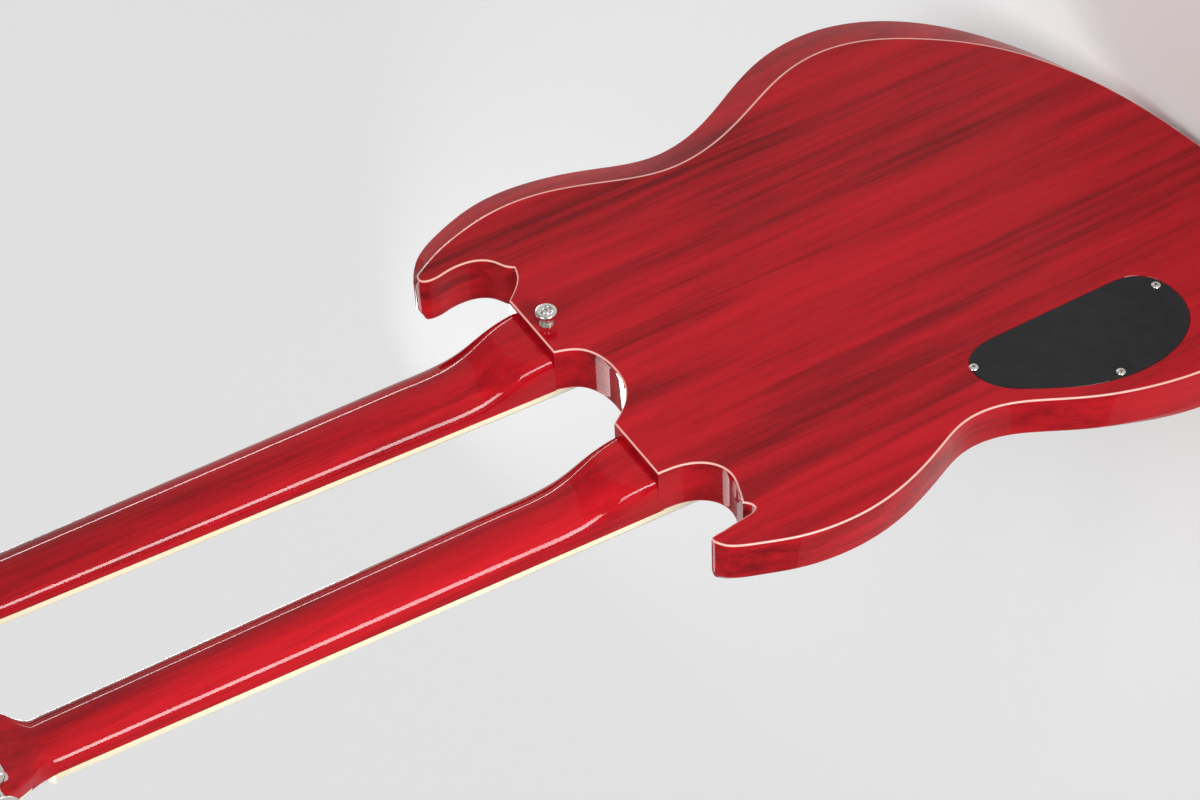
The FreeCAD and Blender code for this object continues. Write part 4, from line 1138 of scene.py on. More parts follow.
bridge_point = NECK["six"] @ Vector((0, -string_height(nut_z - scale_length),
                                     nut_z - scale_length))
bridge_z = bridge_point.z
bridge_string_rise = front_y - bridge_point.y


def on_cover(share):
    return cover_left + share[0] * cover_width, cover_bottom + share[1] * cover_length


def cover_outline():
    """Teardrop outline of the rear cover, in x and z."""
    points = [on_cover(share) for share in cover_shares]
    return smooth_path(points, 5)[:-1] + [points[-1]]


def outline_loop():
    """The body's outline clockwise from the treble horn, as edges of (x, z, back, front)."""
    outer = [(x * treble_reach, z * body_length, back, front)
             for x, z, back, front in treble_side_shares]
    outer += [(x * bass_reach, z * body_length, back, front)
              for x, z, back, front in bass_side_shares]

    def cutaway(shares, corner, width, depth):
        return [(corner + x * width, heel_z + z * depth, 0, 0) for x, z in shares]

    half = {side: board_half_width(side, 0) for side in SIDES}
    bass_corner, gap_left = side_x["twelve"] - half["twelve"], side_x["twelve"] + half["twelve"]
    gap_right, treble_corner = side_x["six"] - half["six"], side_x["six"] + half["six"]
    flank = cutaway(bass_flank_shares, bass_corner, -bass_cutaway[0], bass_cutaway[1])
    throat = cutaway(bass_throat_shares, bass_corner, -bass_cutaway[0], bass_cutaway[1])
    middle = cutaway(middle_shares, gap_left, gap_right - gap_left, middle_depth)
    treble_throat = cutaway(treble_throat_shares, treble_corner, *treble_cutaway)
    treble_flank = cutaway(treble_flank_shares, treble_corner, *treble_cutaway)
    flank[0] = outer[-1]
    treble_flank.append(outer[0])
    return [outer, flank, throat, [throat[-1], middle[0]], middle,
            [middle[-1], treble_throat[0]], treble_throat, treble_flank]


def inset_edge(edge, before, after, which, width):
    """Points of one outline edge, moved into the body by each point's share of the bevel."""
    chain = [before] + edge + [after]
    points = []
    for place in range(1, len(chain) - 1):
        ahead = (chain[place + 1][0] - chain[place - 1][0],
                 chain[place + 1][1] - chain[place - 1][1])
        length = math.hypot(*ahead)
        reach = width * (chain[place][which] if which else 0) / length
        points.append((chain[place][0] + ahead[1] * reach, chain[place][1] - ahead[0] * reach))
    return points


def body_rims():
    """The outline at the walls, at the back flat and at the front flat, point for point."""
    loop = outline_loop()
    gap = sizes().column_gap / MM
    rims = ([], [], [])
    for place, edge in enumerate(loop):
        before, after = loop[place - 1][-2], loop[(place + 1) % len(loop)][1]
        steps = [max(1, round(math.dist(a[:2], b[:2]) / gap)) for a, b in zip(edge, edge[1:])]
        for rim, which, width in zip(rims, (0, 2, 3), (0, back_bevel_width, front_bevel_width)):
            points = inset_edge(edge, before, after, which, width)
            rim += curve_through(points, steps)[:-1]
    return rims


def soften_tips(rims, reach=5, passes=8, least_turn=12):
    """Rounds the horn tips, where two outline edges meet at an angle."""
    wall = rims[0]
    tips = [place for place in range(len(wall))
            if wall[place][1] > heel_z + 2 and turn_at(wall, place) > least_turn]
    for rim in rims:
        for tip in tips:
            for pass_number in range(passes):
                kept = list(rim)
                for place in range(tip - reach, tip + reach + 1):
                    here = place % len(rim)
                    before, after = kept[here - 1], kept[(here + 1) % len(rim)]
                    rim[here] = tuple(kept[here][axis] * 0.5 + (before[axis] + after[axis]) * 0.25
                                      for axis in (0, 1))


def keep_inside(wall, rim):
    """Moves a bevel's rim back to the wall where its curve swings out past it."""
    for place, (point, way) in enumerate(zip(wall, outward_ways(wall))):
        way = Vector(way).normalized()
        past = (Vector(rim[place]) - Vector(point)).dot(way)
        if past > 0:
            rim[place] = (rim[place][0] - way.x * past, rim[place][1] - way.y * past)


def turn_at(points, place):
    """Degrees that a closed run of points turns by at one of them."""
    here = Vector(points[place])
    first = here - Vector(points[place - 1])
    second = Vector(points[(place + 1) % len(points)]) - here
    return math.degrees(first.angle(second, 0))


def build_body():
    """The carved body as one shell with its cavity and holes, and its rims' crests for the painted
    highlight.
    """
    rims = body_rims()
    soften_tips(rims)
    wall, back, front = rims
    for rim in (back, front):
        keep_inside(wall, rim)
    radius = sizes().edge_radius / MM
    flats = inset(front, radius * 0.8), inset(back, radius * 0.8)
    columns = []
    for place, (x, z) in enumerate(wall):
        run = [(flats[0][place][0], front_y, flats[0][place][1]),
               (front[place][0], front_y, front[place][1]),
               (x, front_y + front_bevel_depth, z), (x, back_y - back_bevel_depth, z),
               (back[place][0], back_y, back[place][1]),
               (flats[1][place][0], back_y, flats[1][place][1])]
        columns.append(eased(run, radius))
    rings = [[column[row] for column in columns] for row in range(len(columns[0]))]
    # An eased edge is five rings wide, and its crest is the middle one
    crests = rings[3] + rings[-4]
    form = skin(rings, (False, False))
    back_flat = [(corner.x, corner.z) for corner in rings[-1]]
    front_flat = [(corner.x, corner.z) for corner in rings[0]]
    recess = inset(cover_outline(), -slip - 0.15)
    jack_x, jack_z = on_cover(jack_share)
    jack_hole = [(jack_x + x, jack_z + y) for x, y in circle(jack_radius + slip, 32)]
    form.join(flat_fill(back_flat, [recess], 0), BACK)
    form.join(flat_fill(front_flat, [jack_hole], 0), FRONT)
    floor = cover_thickness + 0.1
    depth = body_thickness - front_wall
    steps = [(0, 0), (0.25, -0.3), (0.25, -floor), (cover_ledge, -floor), (cover_ledge, -depth)]
    cavity = [[(x, z, height) for x, z in inset(recess, width)] for width, height in steps]
    form.join(skin(cavity, (False, False)), BACK)
    form.join(flat_fill([point[:2] for point in cavity[-1]], [jack_hole], -depth), BACK)
    tube = [[(x, z, 0) for x, z in jack_hole], [(x, z, -front_wall) for x, z in jack_hole]]
    return form.join(skin(tube, (False, False)), FRONT), crests


def paint_rim_highlights(mesh, crests, reach):
    """Gives each point near a rim's crest a share, which the lacquer shows as a painted pale
    highlight.
    """
    near = KDTree(len(crests))
    for place, corner in enumerate(crests):
        near.insert(corner * MM, place)
    near.balance()
    rim = mesh.attributes.new("rim", "FLOAT", "POINT")
    for vertex in mesh.vertices:
        rim.data[vertex.index].value = max(0.0, 1 - near.find(vertex.co)[2] / reach)


class GUITAR_OT_body(bpy.types.Operator):
    """Builds the carved body"""

    bl_idname = "guitar.body"
    bl_label = "Body"

    def execute(self, context):
        form, crests = build_body()
        mesh = mesh_of("carved_body", form, 32.0)
        # Marks the rims' crests, where the lacquer paints a pale highlight
        paint_rim_highlights(mesh, crests, sizes().edge_radius * 0.7)
        piece("carved_body", mesh, ["body_finish"], nodes=["body"])
        return {"FINISHED"}


def section(half, depth, power, place, steps=44):
    """D-shaped section below the board: a superellipse closed by a straight top."""
    points = []
    for step in range(steps + 1):
        angle = math.pi * step / steps
        across = abs(math.cos(angle)) ** (2 / power) * math.copysign(1, math.cos(angle))
        down = abs(math.sin(angle)) ** (2 / power)
        points.append(place @ Vector((half * across, depth * down, 0)))
    points[0] = place @ Vector((half, 0, 0))
    points[-1] = place @ Vector((-half, 0, 0))
    return points


def head_outline(side):
    """A head's outline from the throat's end up one side, over the crown and down again."""
    length = head_length[side]
    shares = head_outline_shares + head_crown_shares
    points = [(x * head_half_width, z * length) for x, z in shares]
    turn_place = len(head_outline_shares)
    flank = [(head_half_at(side, throat_run), throat_run)]
    flank += [point for point in points[:turn_place] if point[1] > throat_run + 2.5]
    crown = points[turn_place - 1:] + [(0, length)]
    crown += [(-point[0], point[1]) for point in reversed(crown[:-1])]
    run = smooth_path(flank, 8)[:-1]
    return run + smooth_path(crown, 8) + [(-x, z) for x, z in reversed(run)]


def head_half_at(side, z):
    """Half width of a head at a height above the nut."""
    points = [(x * head_half_width, share * head_length[side])
              for x, share in head_outline_shares]
    points[0] = (nut_width[side] / 2, 0)
    for low, high in zip(points, points[1:]):
        if low[1] <= z <= high[1]:
            return low[0] + (high[0] - low[0]) * (z - low[1]) / (high[1] - low[1])
    return head_half_width


def neck_shell(side):
    """Heel, shaft and throat of one neck as a single skin."""
    rings = []
    plateau = back_y - heel_step - front_y
    knots = [(along * heel_run, share, power) for along, share, power in heel_shares]
    for z, share, power in smooth_rows(knots, 9):
        depth = shaft_depth(max(z, heel_run)) + share * (plateau - neck_depth_at_heel)
        rings.append(section(board_half_width(side, z), depth, power,
                             NECK[side] @ shift(0, 0, z)))
    last = knots[-1][0]
    for step in range(1, 25):
        z = last + (nut_z - 10 - last) * step / 24
        rings.append(section(board_half_width(side, z), shaft_depth(z), 2.0,
                             NECK[side] @ shift(0, 0, z)))
    for up, turn, share, power in throat_rows:
        depth = neck_depth_at_nut + share * (head_thickness - neck_depth_at_nut)
        half = head_half_at(side, up) if up > 0 else board_half_width(side, nut_z + up)
        tilt = NECK[side] @ shift(0, 0, nut_z) @ turn_x(-head_angle * turn) @ shift(0, 0, up)
        rings.append(section(half - (0.05 if up > throat_run else 0), depth, power, tilt))
    form = skin(rings)
    # Above the nut the section's flat side is part of the head's black face
    blackened = len(rings) - sum(row[0] >= nut_thickness for row in throat_rows)
    for row in range(blackened, len(rings) - 1):
        form.finishes[(row + 1) * len(rings[0]) - 1] = 1
    return form


def shaft_depth(z):
    run = (z - heel_run) / (nut_z - heel_run)
    return neck_depth_at_heel + run * (neck_depth_at_nut - neck_depth_at_heel)


def smooth_rows(knots, steps):
    """Rows between the heel's knots, each value on its own natural curve."""
    spaced = [(z, 0, share, power) for z, share, power in knots]
    rows = curve_through(spaced, [steps] * (len(spaced) - 1))
    return [(row[0], row[2], row[3]) for row in rows]


def head_plate(side):
    """A head with a soft back edge, its face a separate finish."""
    outline = head_outline(side)
    form = slab(outline, 0, head_thickness, 0.3, 2.6, 5)
    face = slab(inset(outline, 0.9), 0, 0.06, 0.01, 0.01, 1)
    return Form().join(form, HEAD_FACE[side] @ MIRROR).join(face, HEAD_FACE[side], 1)


class GUITAR_OT_necks(bpy.types.Operator):
    """Builds both necks with their heels and heads"""

    bl_idname = "guitar.necks"
    bl_label = "Necks"

    def execute(self, context):
        for side in SIDES:
            fixed_piece(f"neck_and_head_{side}", neck_shell(side).join(head_plate(side)),
                        ["neck_finish", "head_face"], f"neck_{side}_string", 32.0)
        return {"FINISHED"}


def board_core(side):
    """Arched board between its bindings."""
    rings = []
    for z in np.linspace(-board_overhang + binding_width, nut_z, 12):
        half = board_half_width(side, z) - binding_width
        top = [(x, -board_thickness + arch_drop(x), z) for x in np.linspace(-half, half, 13)]
        rings.append(top + [(half, 0, z), (-half, 0, z)])
    return skin(rings)


def board_binding(side):
    """Strip round three sides of a board, with its outer edge rounded by hands."""
    path = []
    for z in np.linspace(nut_z, -board_overhang, 10):
        path.append((-board_half_width(side, z), z, -1, 0))
    foot = board_half_width(side, -board_overhang)
    for share in np.linspace(-0.9, 0.9, 9):
        path.append((foot * share, -board_overhang, 0, -1))
    for z in np.linspace(-board_overhang, nut_z, 10):
        path.append((board_half_width(side, z), z, 1, 0))
    rings = []
    for x, z, out_x, out_z in path:
        corner = abs(out_x) and abs(z + board_overhang) < 0.1
        if corner:
            out_z = -1

        def at(depth, height, lift=0.0):
            spot_x = x - out_x * depth
            top = -board_thickness + arch_drop(spot_x) - lift
            return (spot_x, top + height, z - out_z * depth)

        side_low = (x, 0, z)
        inner_low = (x - out_x * binding_width, 0, z - out_z * binding_width)
        rings.append([side_low, at(0, 0.9), at(0.12, 0.35), at(0.45, 0.03),
                      at(binding_width, -0.01), inner_low])
    return skin(rings)


def head_binding(side):
    """Strip round the edge of a head's face."""
    path = head_outline(side)
    ways = outward_ways(path)
    ways[0], ways[-1] = ways[1], ways[-2]
    rings = []
    for (x, z), way in zip(path, ways):
        def at(depth, y):
            return (x - way[0] * depth, y, z - way[1] * depth)

        rings.append([at(-0.08, head_binding_depth), at(-0.08, 0.45), at(0.05, 0.08),
                      at(0.45, -0.1), at(binding_width, -0.1),
                      at(binding_width, head_binding_depth)])
    return skin(rings)


def inlay_blocks(side):
    """Slanted blocks between the marked frets, following the arch."""
    form = Form()
    for number in inlay_frets:
        top, bottom = fret_z(number - 1), fret_z(number)
        half = board_half_width(side, bottom) - binding_width - inlay_side_gap
        margin, slant = (top - bottom) / 5, (top - bottom) / 8
        rings = []
        for x in np.linspace(-half, half, 11):
            share = (x + half) / (2 * half)
            low = bottom + margin + slant * (1.5 * share - 0.5)
            high = top - margin + slant * (1.5 * share - 1.0)
            y = -board_thickness + arch_drop(x)
            rings.append([(x, y - 0.04, low), (x, y - 0.04, high), (x, y + 0.5, high),
                          (x, y + 0.5, low)])
        form.join(skin(rings))
    return form


def fret_bar():
    """A fret of unit half length, straight, with its ends filed down."""
    profile = [(-1.2, 0.1), (-1.15, -0.25), (-0.85, -0.75), (-0.35, -1.06), (0.35, -1.06),
               (0.85, -0.75), (1.15, -0.25), (1.2, 0.1)]
    rings = []
    for x in (-1, -0.985, -0.96, -0.8, -0.6, -0.4, -0.2, 0, 0.2, 0.4, 0.6, 0.8, 0.96, 0.985, 1):
        low = 0.35 if abs(x) == 1 else 0.85 if abs(x) > 0.97 else 1.0
        rings.append([(x / MM, y * (low if y < 0 else 1), z) for z, y in profile])
    return skin(rings)


class GUITAR_OT_fingerboards(bpy.types.Operator):
    """Builds the fingerboards with their bindings, inlays, frets and nuts"""

    bl_idname = "guitar.fingerboards"
    bl_label = "Fingerboards"

    def execute(self, context):
        cores, bindings, inlays = Form(), Form(), Form()
        for side in SIDES:
            cores.join(board_core(side), NECK[side])
            bindings.join(board_binding(side), NECK[side])
            bindings.join(head_binding(side), HEAD[side])
            inlays.join(inlay_blocks(side), NECK[side])
        fixed_piece("fingerboard_cores", cores, ["rosewood"], "fretboards")
        fixed_piece("cream_bindings", bindings, ["cream_binding"], "bindings", 50.0)
        fixed_piece("pearl_blocks", inlays, ["pearl_inlay"], "inlays")
        bar = spare("fret_bar", fret_bar())
        stood_for = ["frets"]
        for side in SIDES:
            base = bpy.data.meshes.new("fret_base")
            mesh = grown(f"frets_{side}", base, "frets", {
                "Scale length": scale_length * MM, "Nut height": nut_z * MM,
                "Foot height": -board_overhang * MM,
                "Nut half width": nut_width[side] / 2 * MM - binding_width * MM,
                "Foot half width": board_end_width[side] / 2 * MM - binding_width * MM,
                "Arch radius": board_radius * MM, "Base": -board_thickness * MM, "Bar": bar,
                "Count": fret_count, "Material": material("fret_metal")})
            move_to(mesh, NECK[side])
            piece(f"frets_{side}", mesh, ["fret_metal"], nodes=stood_for)
            stood_for = []
        bpy.data.objects.remove(bar)
        refined("bone_nuts", "nuts", "bone", 0.25)
        return {"FINISHED"}


def tuner_places(side):
    """Each tuner of a head: its label, side of the head, and height above the nut."""
    places = []
    for row in range(tuner_count[side]):
        for sign in (-1, 1):
            number = row + 1 if sign < 0 else 2 * tuner_count[side] - row
            places.append((f"{side}_{number:02d}", sign, tuner_first + row * tuner_step[side]))
    return places


def string_runs(side):
    """Each string as its centre line's points, radius and tuner label."""
    half = nut_width[side] / 2 - string_edge_margin
    spread = string_spread_at_bridge / (2 * half)
    places = []
    for course in range(saddle_count):
        centre = -half + 2 * half * course / (saddle_count - 1)
        main = string_diameters[saddle_count - 1 - course]
        if side == "six":
            places.append((centre, main))
            continue
        octave = octave_diameters[saddle_count - 1 - course]
        places.append((centre - course_pair_gap / 2, octave))
        places.append((centre + course_pair_gap / 2, main))
    tuners = tuner_places(side)
    lefts = [tuner for tuner in tuners if tuner[1] < 0]
    rights = [tuner for tuner in reversed(tuners) if tuner[1] > 0]
    nut_foot = nut_z + nut_thickness * nut_land_share
    runs = []
    for (x, diameter), (label, sign, z) in zip(places, lefts + rights):
        radius = diameter / 2
        at_nut = NECK[side] @ Vector((x, -string_height(nut_foot) - radius + arch_drop(x),
                                      nut_foot))
        saddle_x = x * spread
        saddle_y = front_y - bridge_string_rise - radius + arch_drop(saddle_x)
        at_saddle = Vector((side_x[side] + saddle_x, saddle_y, bridge_z))
        tail_z = bridge_z - tailpiece_below_bridge + tailpiece_thickness / 2 + radius
        at_tail = Vector((side_x[side] + saddle_x, front_y - tailpiece_lift
                          - tailpiece_height / 2, tail_z - 5))
        post_x = sign * (post_offset - post_radius - running - radius)
        at_post = HEAD[side] @ Vector((post_x, -winding_height, z))
        runs.append(([at_tail, at_saddle, at_nut, at_post], radius, label, sign, z))
    return runs


class GUITAR_OT_strings(bpy.types.Operator):
    """Strings both necks and winds each string on its post"""

    bl_idname = "guitar.strings"
    bl_label = "Strings"

    def execute(self, context):
        form = Form()
        for side in SIDES:
            for points, radius, label, sign, z in string_runs(side):
                form.join(swept(eased(points, 1.5, 3), radius))
                self.wind(side, radius, label, sign, z)
        fixed_piece("strings_drawn", form, ["string_metal"], "strings")
        return {"FINISHED"}

    def wind(self, side, radius, label, sign, z):
        """Winds one string's end round its post, below the height where it arrives."""
        turns = sizes().string_turns
        if radius <= thin_string_radius:
            turns += thin_string_extra_turns
        mesh = grown(f"string_coil_{label}", bpy.data.meshes.new("coil_base"), "string_coil", {
            "Turns": turns, "Coil radius": (post_radius + running + radius) * MM,
            "String radius": radius * MM, "Material": material("string_metal")})
        top = winding_height - turns * radius * winding_pitch_in_radii
        move_to(mesh, HEAD[side] @ shift(sign * post_offset, -top, z) @ turn_x(90))
        finish_mesh(mesh, 60.0)
        piece(f"string_coil_{label}", mesh, ["string_metal"], f"string_post_{label}")


def post_form():
    """A string post about local Z from the head's back, with a slot across its top."""
    foot = -head_thickness + running
    profile = [(0, foot), (post_radius, foot), (post_radius, 5.6)]
    profile += [(2.75, 6.4), (2.75, 9.6), (3.0, 10.8), (3.0, 14.2), (2.7, 14.8), (2.3, post_rise)]
    return turned_with_recess(profile, slot_recess(2.05, 0.45), 3.2, 32)


def key_form():
    """A tuner key along local X from its seat: stem, collar and a rounded grip."""
    grip_x = key_stem_reach
    stem = [(0, 0), (key_stem_radius, 0), (key_stem_radius, key_seat_depth + 0.3),
            (3.4, key_seat_depth + 0.4), (3.4, key_seat_depth + 1.6), (2.6, key_seat_depth + 2.2),
            (2.2, key_seat_depth + 3), (2.0, grip_x - 4), (2.4, grip_x - 2), (2.6, grip_x + 2),
            (0, grip_x + 2)]
    form = Form().join(turned(stem, 28), Matrix.Rotation(math.pi / 2, 4, "Y"))
    half = key_height / 2
    side = [(grip_x + along * key_length, -up * half) for along, up in key_grip_shares]
    loop = side + [(x, -y) for x, y in reversed(side)]
    curved = smooth_path(loop[-3:] + loop + loop[:3], 5)
    outline = curved[15:15 + 5 * len(loop)]
    grip = slab(outline, -key_thickness / 2, key_thickness / 2, 2.2, 2.2, 5)
    return form.join(grip, turn_x(90))


def housing_form():
    """A closed gear housing with its footed plate, on the back of a head."""
    form = slab(rounded_rectangle(housing_width, housing_height, 3.0), 0, housing_depth,
                0.1, 2.4)
    foot = rounded_rectangle(housing_foot_width, housing_foot_height, 4.2)
    return form.join(slab(foot, 0, housing_foot_thickness, 0.1, 0.5))


class GUITAR_OT_tuners(bpy.types.Operator):
    """Builds the tuners: housings, bushings, posts and keys"""

    bl_idname = "guitar.tuners"
    bl_label = "Tuners"

    def execute(self, context):
        housings, screws = Form(), []
        bush = turned([(3.15, 0), (5.6, 0), (5.6, 0.7), (4.9, 1.2), (4.6, 2.0), (3.6, 2.3),
                       (3.15, 2.3)], 24)
        for side in SIDES:
            for label, sign, z in tuner_places(side):
                self.add_one(side, label, sign, z)
                spot = HEAD[side] @ shift(sign * post_offset, head_thickness, z)
                housings.join(housing_form(), spot @ turn_x(-90))
                face = HEAD[side] @ shift(sign * post_offset, 0, z) @ turn_x(90)
                housings.join(bush, face)
                way = way_of(HEAD[side] @ turn_x(-90))
                for up in (-housing_screw_up, housing_screw_up):
                    spot = HEAD[side] @ Vector((sign * post_offset,
                                                head_thickness + housing_foot_thickness, z + up))
                    screws.append((tuple(spot), way))
        fixed_piece("gear_housings", housings, ["tuner_metal"], "tuner_housings")
        add_screws("tuner_screws", screws, screw_head(), housing_screw_radius, "tuner_metal")
        return {"FINISHED"}

    def add_one(self, side, label, sign, z):
        face = HEAD[side] @ shift(sign * post_offset, 0, z) @ turn_x(90)
        post = Form().join(post_form(), face)
        name = f"string_post_{label}"
        piece(f"{name}_turned", mesh_of(name, post), ["tuner_metal"], name, [name])
        seat_x = post_offset + housing_width / 2 - key_seat_depth
        place = HEAD[side] @ shift(sign * seat_x, head_thickness + key_drop, z)
        if sign < 0:
            place = place @ Matrix.Rotation(math.pi, 4, "Y")
        key = Form().join(key_form(), place)
        name = f"tuner_key_{label}"
        piece(f"{name}_moulded", mesh_of(name, key), ["tuner_metal"], name, [name])


def pickup_places():
    """Each pickup as its x, z and ring height."""
    neck_z = heel_z - board_overhang - neck_pickup_gap
    lower_z = bridge_z + bridge_pickup_gap
    return [(x, z, rise) for x in side_x.values()
            for z, rise in ((neck_z, ring_rise_at_neck), (lower_z, ring_rise_at_bridge))]


def pickup_rise(z):
    along = (z - heel_z) / math.cos(math.radians(neck_pitch))
    under = front_y - (NECK["six"] @ Vector((0, -string_height(along), along))).y
    return under - pickup_string_gap


class GUITAR_OT_pickups(bpy.types.Operator):
    """Builds the pickups with their covers, pole screws and rings"""

    bl_idname = "guitar.pickups"
    bl_label = "Pickups"

    def execute(self, context):
        covers, rings, poles, ring_screws = Form(), Form(), [], []
        way = way_of(FRONT)
        for x, z, rise in pickup_places():
            top = pickup_rise(z)
            outline = rounded_rectangle(pickup_width, pickup_height, 3.0)
            covers.join(slab(outline, -1.0, top, 0.1, 1.6, 5), FRONT @ shift(x, z, 0))
            frame_line = rounded_rectangle(ring_width, ring_height, 4.0)
            hole = rounded_rectangle(pickup_width + 0.6, pickup_height + 0.6, 3.0)
            rings.join(plate(frame_line, edge_profile(0, rise, 0.1, 1.2), hole),
                       FRONT @ shift(x, z, 0))
            for place in range(saddle_count):
                across = (place - (saddle_count - 1) / 2) * pole_gap
                poles.append(((x + across, front_y - top + 0.2, z + pole_line), way))
            for across in (-ring_screw_across, ring_screw_across):
                for up in (-ring_screw_up, ring_screw_up):
                    ring_screws.append(((x + across, front_y - rise, z + up), way))
                middle = x + across * ring_middle_screw_share
                ring_screws.append(((middle, front_y - rise, z), way))
        fixed_piece("pickup_covers", covers, ["pickup_cover"], "pickups")
        fixed_piece("mounting_rings", rings, ["ring_plastic"], "pickup_rings")
        add_screws("pole_screws", poles, slotted_head(), pole_radius, "pickup_cover")
        add_screws("ring_screws", ring_screws, screw_head(), ring_screw_radius, "button_metal")
        return {"FINISHED"}


def stadium(width, height, steps=9):
    return rounded_rectangle(width, height, height * 0.62, steps)


def saddle_form(x, base, rise):
    """A wedge saddle with its ridge under the string."""
    half = bridge_thickness / 2 - 1.1
    ring = [(-half, base), (half, base), (0.35, base + rise), (-0.35, base + rise)]
    return skin([[(x + side * saddle_width / 2, y, z) for y, z in ring] for side in (-1, 1)])


class GUITAR_OT_bridges(bpy.types.Operator):
    """Builds the bridges and the tailpieces"""

    bl_idname = "guitar.bridges"
    bl_label = "Bridges"

    def execute(self, context):
        bridges, tails, screws = Form(), Form(), []
        rib = spare("wheel_rib", slab([(-0.35, -0.22), (0.35, -0.22), (0.35, 0.22), (-0.35, 0.22)],
                                      -1.1, 1.1, 0.05, 0.05, 1))
        ribs = []
        bar_top = bridge_string_rise - saddle_height
        for side in SIDES:
            x = side_x[side]
            spot = FRONT @ shift(x, bridge_z, 0)
            bridges.join(slab(stadium(bridge_length, bridge_thickness), bar_top - bridge_height,
                              bar_top, 0.8, 1.0), spot)
            for place in range(saddle_count):
                across = string_spread_at_bridge * (place / (saddle_count - 1) - 0.5)
                rise = saddle_height - arch_drop(abs(across) + course_pair_gap) - running
                bridges.join(saddle_form(across, bar_top, rise), spot)
                screws.append(((x + across, front_y - bar_top + 2.6,
                                bridge_z - bridge_thickness / 2), (0, 0, -1)))
            wheel = bar_top - bridge_height - thumbwheel_height
            for sign in (-1, 1):
                post_spot = spot @ shift(sign * bridge_post_spacing / 2, 0, 0)
                bridges.join(rod(bridge_post_radius, -1, wheel + 1), post_spot)
                core, rim = thumbwheel_core_radius, thumbwheel_core_radius - 0.3
                top = wheel + thumbwheel_height
                bridges.join(turned([(0, wheel), (rim, wheel), (core, wheel + 0.3),
                                     (core, top - 0.3), (rim, top), (0, top)], 36), post_spot)
                ribs.append((post_spot, wheel + thumbwheel_height / 2))
            self.add_tailpiece(tails, x)
        fixed_piece("bridge_bars", bridges, ["bridge_metal"], "bridges")
        fixed_piece("stop_tailpieces", tails, ["bridge_metal"], "tailpieces")
        self.add_ribs(ribs, rib)
        add_screws("saddle_screws", screws, slotted_head(), saddle_screw_radius, "bridge_metal")
        bpy.data.objects.remove(rib)
        return {"FINISHED"}

    def add_tailpiece(self, tails, x):
        spot = FRONT @ shift(x, bridge_z - tailpiece_below_bridge, 0)
        tails.join(slab(stadium(tailpiece_length, tailpiece_thickness), tailpiece_lift,
                        tailpiece_lift + tailpiece_height, 2.6, 3.6, 6), spot)
        top = tailpiece_lift + tailpiece_height
        for sign in (-1, 1):
            place = spot @ shift(sign * stud_spacing / 2, 0, 0)
            tails.join(turned_with_recess(
                [(0, -1), (4.0, -1), (4.0, top - 0.5), (stud_head_radius, top - 0.2),
                 (stud_head_radius, top + 1.5), (5.6, top + 2.2), (5.0, top + stud_head_height)],
                slot_recess(4.6, 0.8), 1.4, 40), place)

    def add_ribs(self, places, rib):
        """Knurls every thumbwheel with the same ring of ribs."""
        knurl = grown("thumbwheel_ribs", bpy.data.meshes.new("rib_base"), "ribs", {
            "Ring radius": thumbwheel_core_radius * MM, "Height": 0.0, "Rib": rib,
            "Count": thumbwheel_ribs, "Material": material("bridge_metal")})
        joined = bmesh.new()
        for place, height in places:
            copy = knurl.copy()
            move_to(copy, place @ shift(0, 0, height))
            joined.from_mesh(copy)
        mesh = bpy.data.meshes.new("thumbwheel_ribs")
        joined.to_mesh(mesh)
        joined.free()
        piece("thumbwheel_ribs", mesh, ["bridge_metal"])


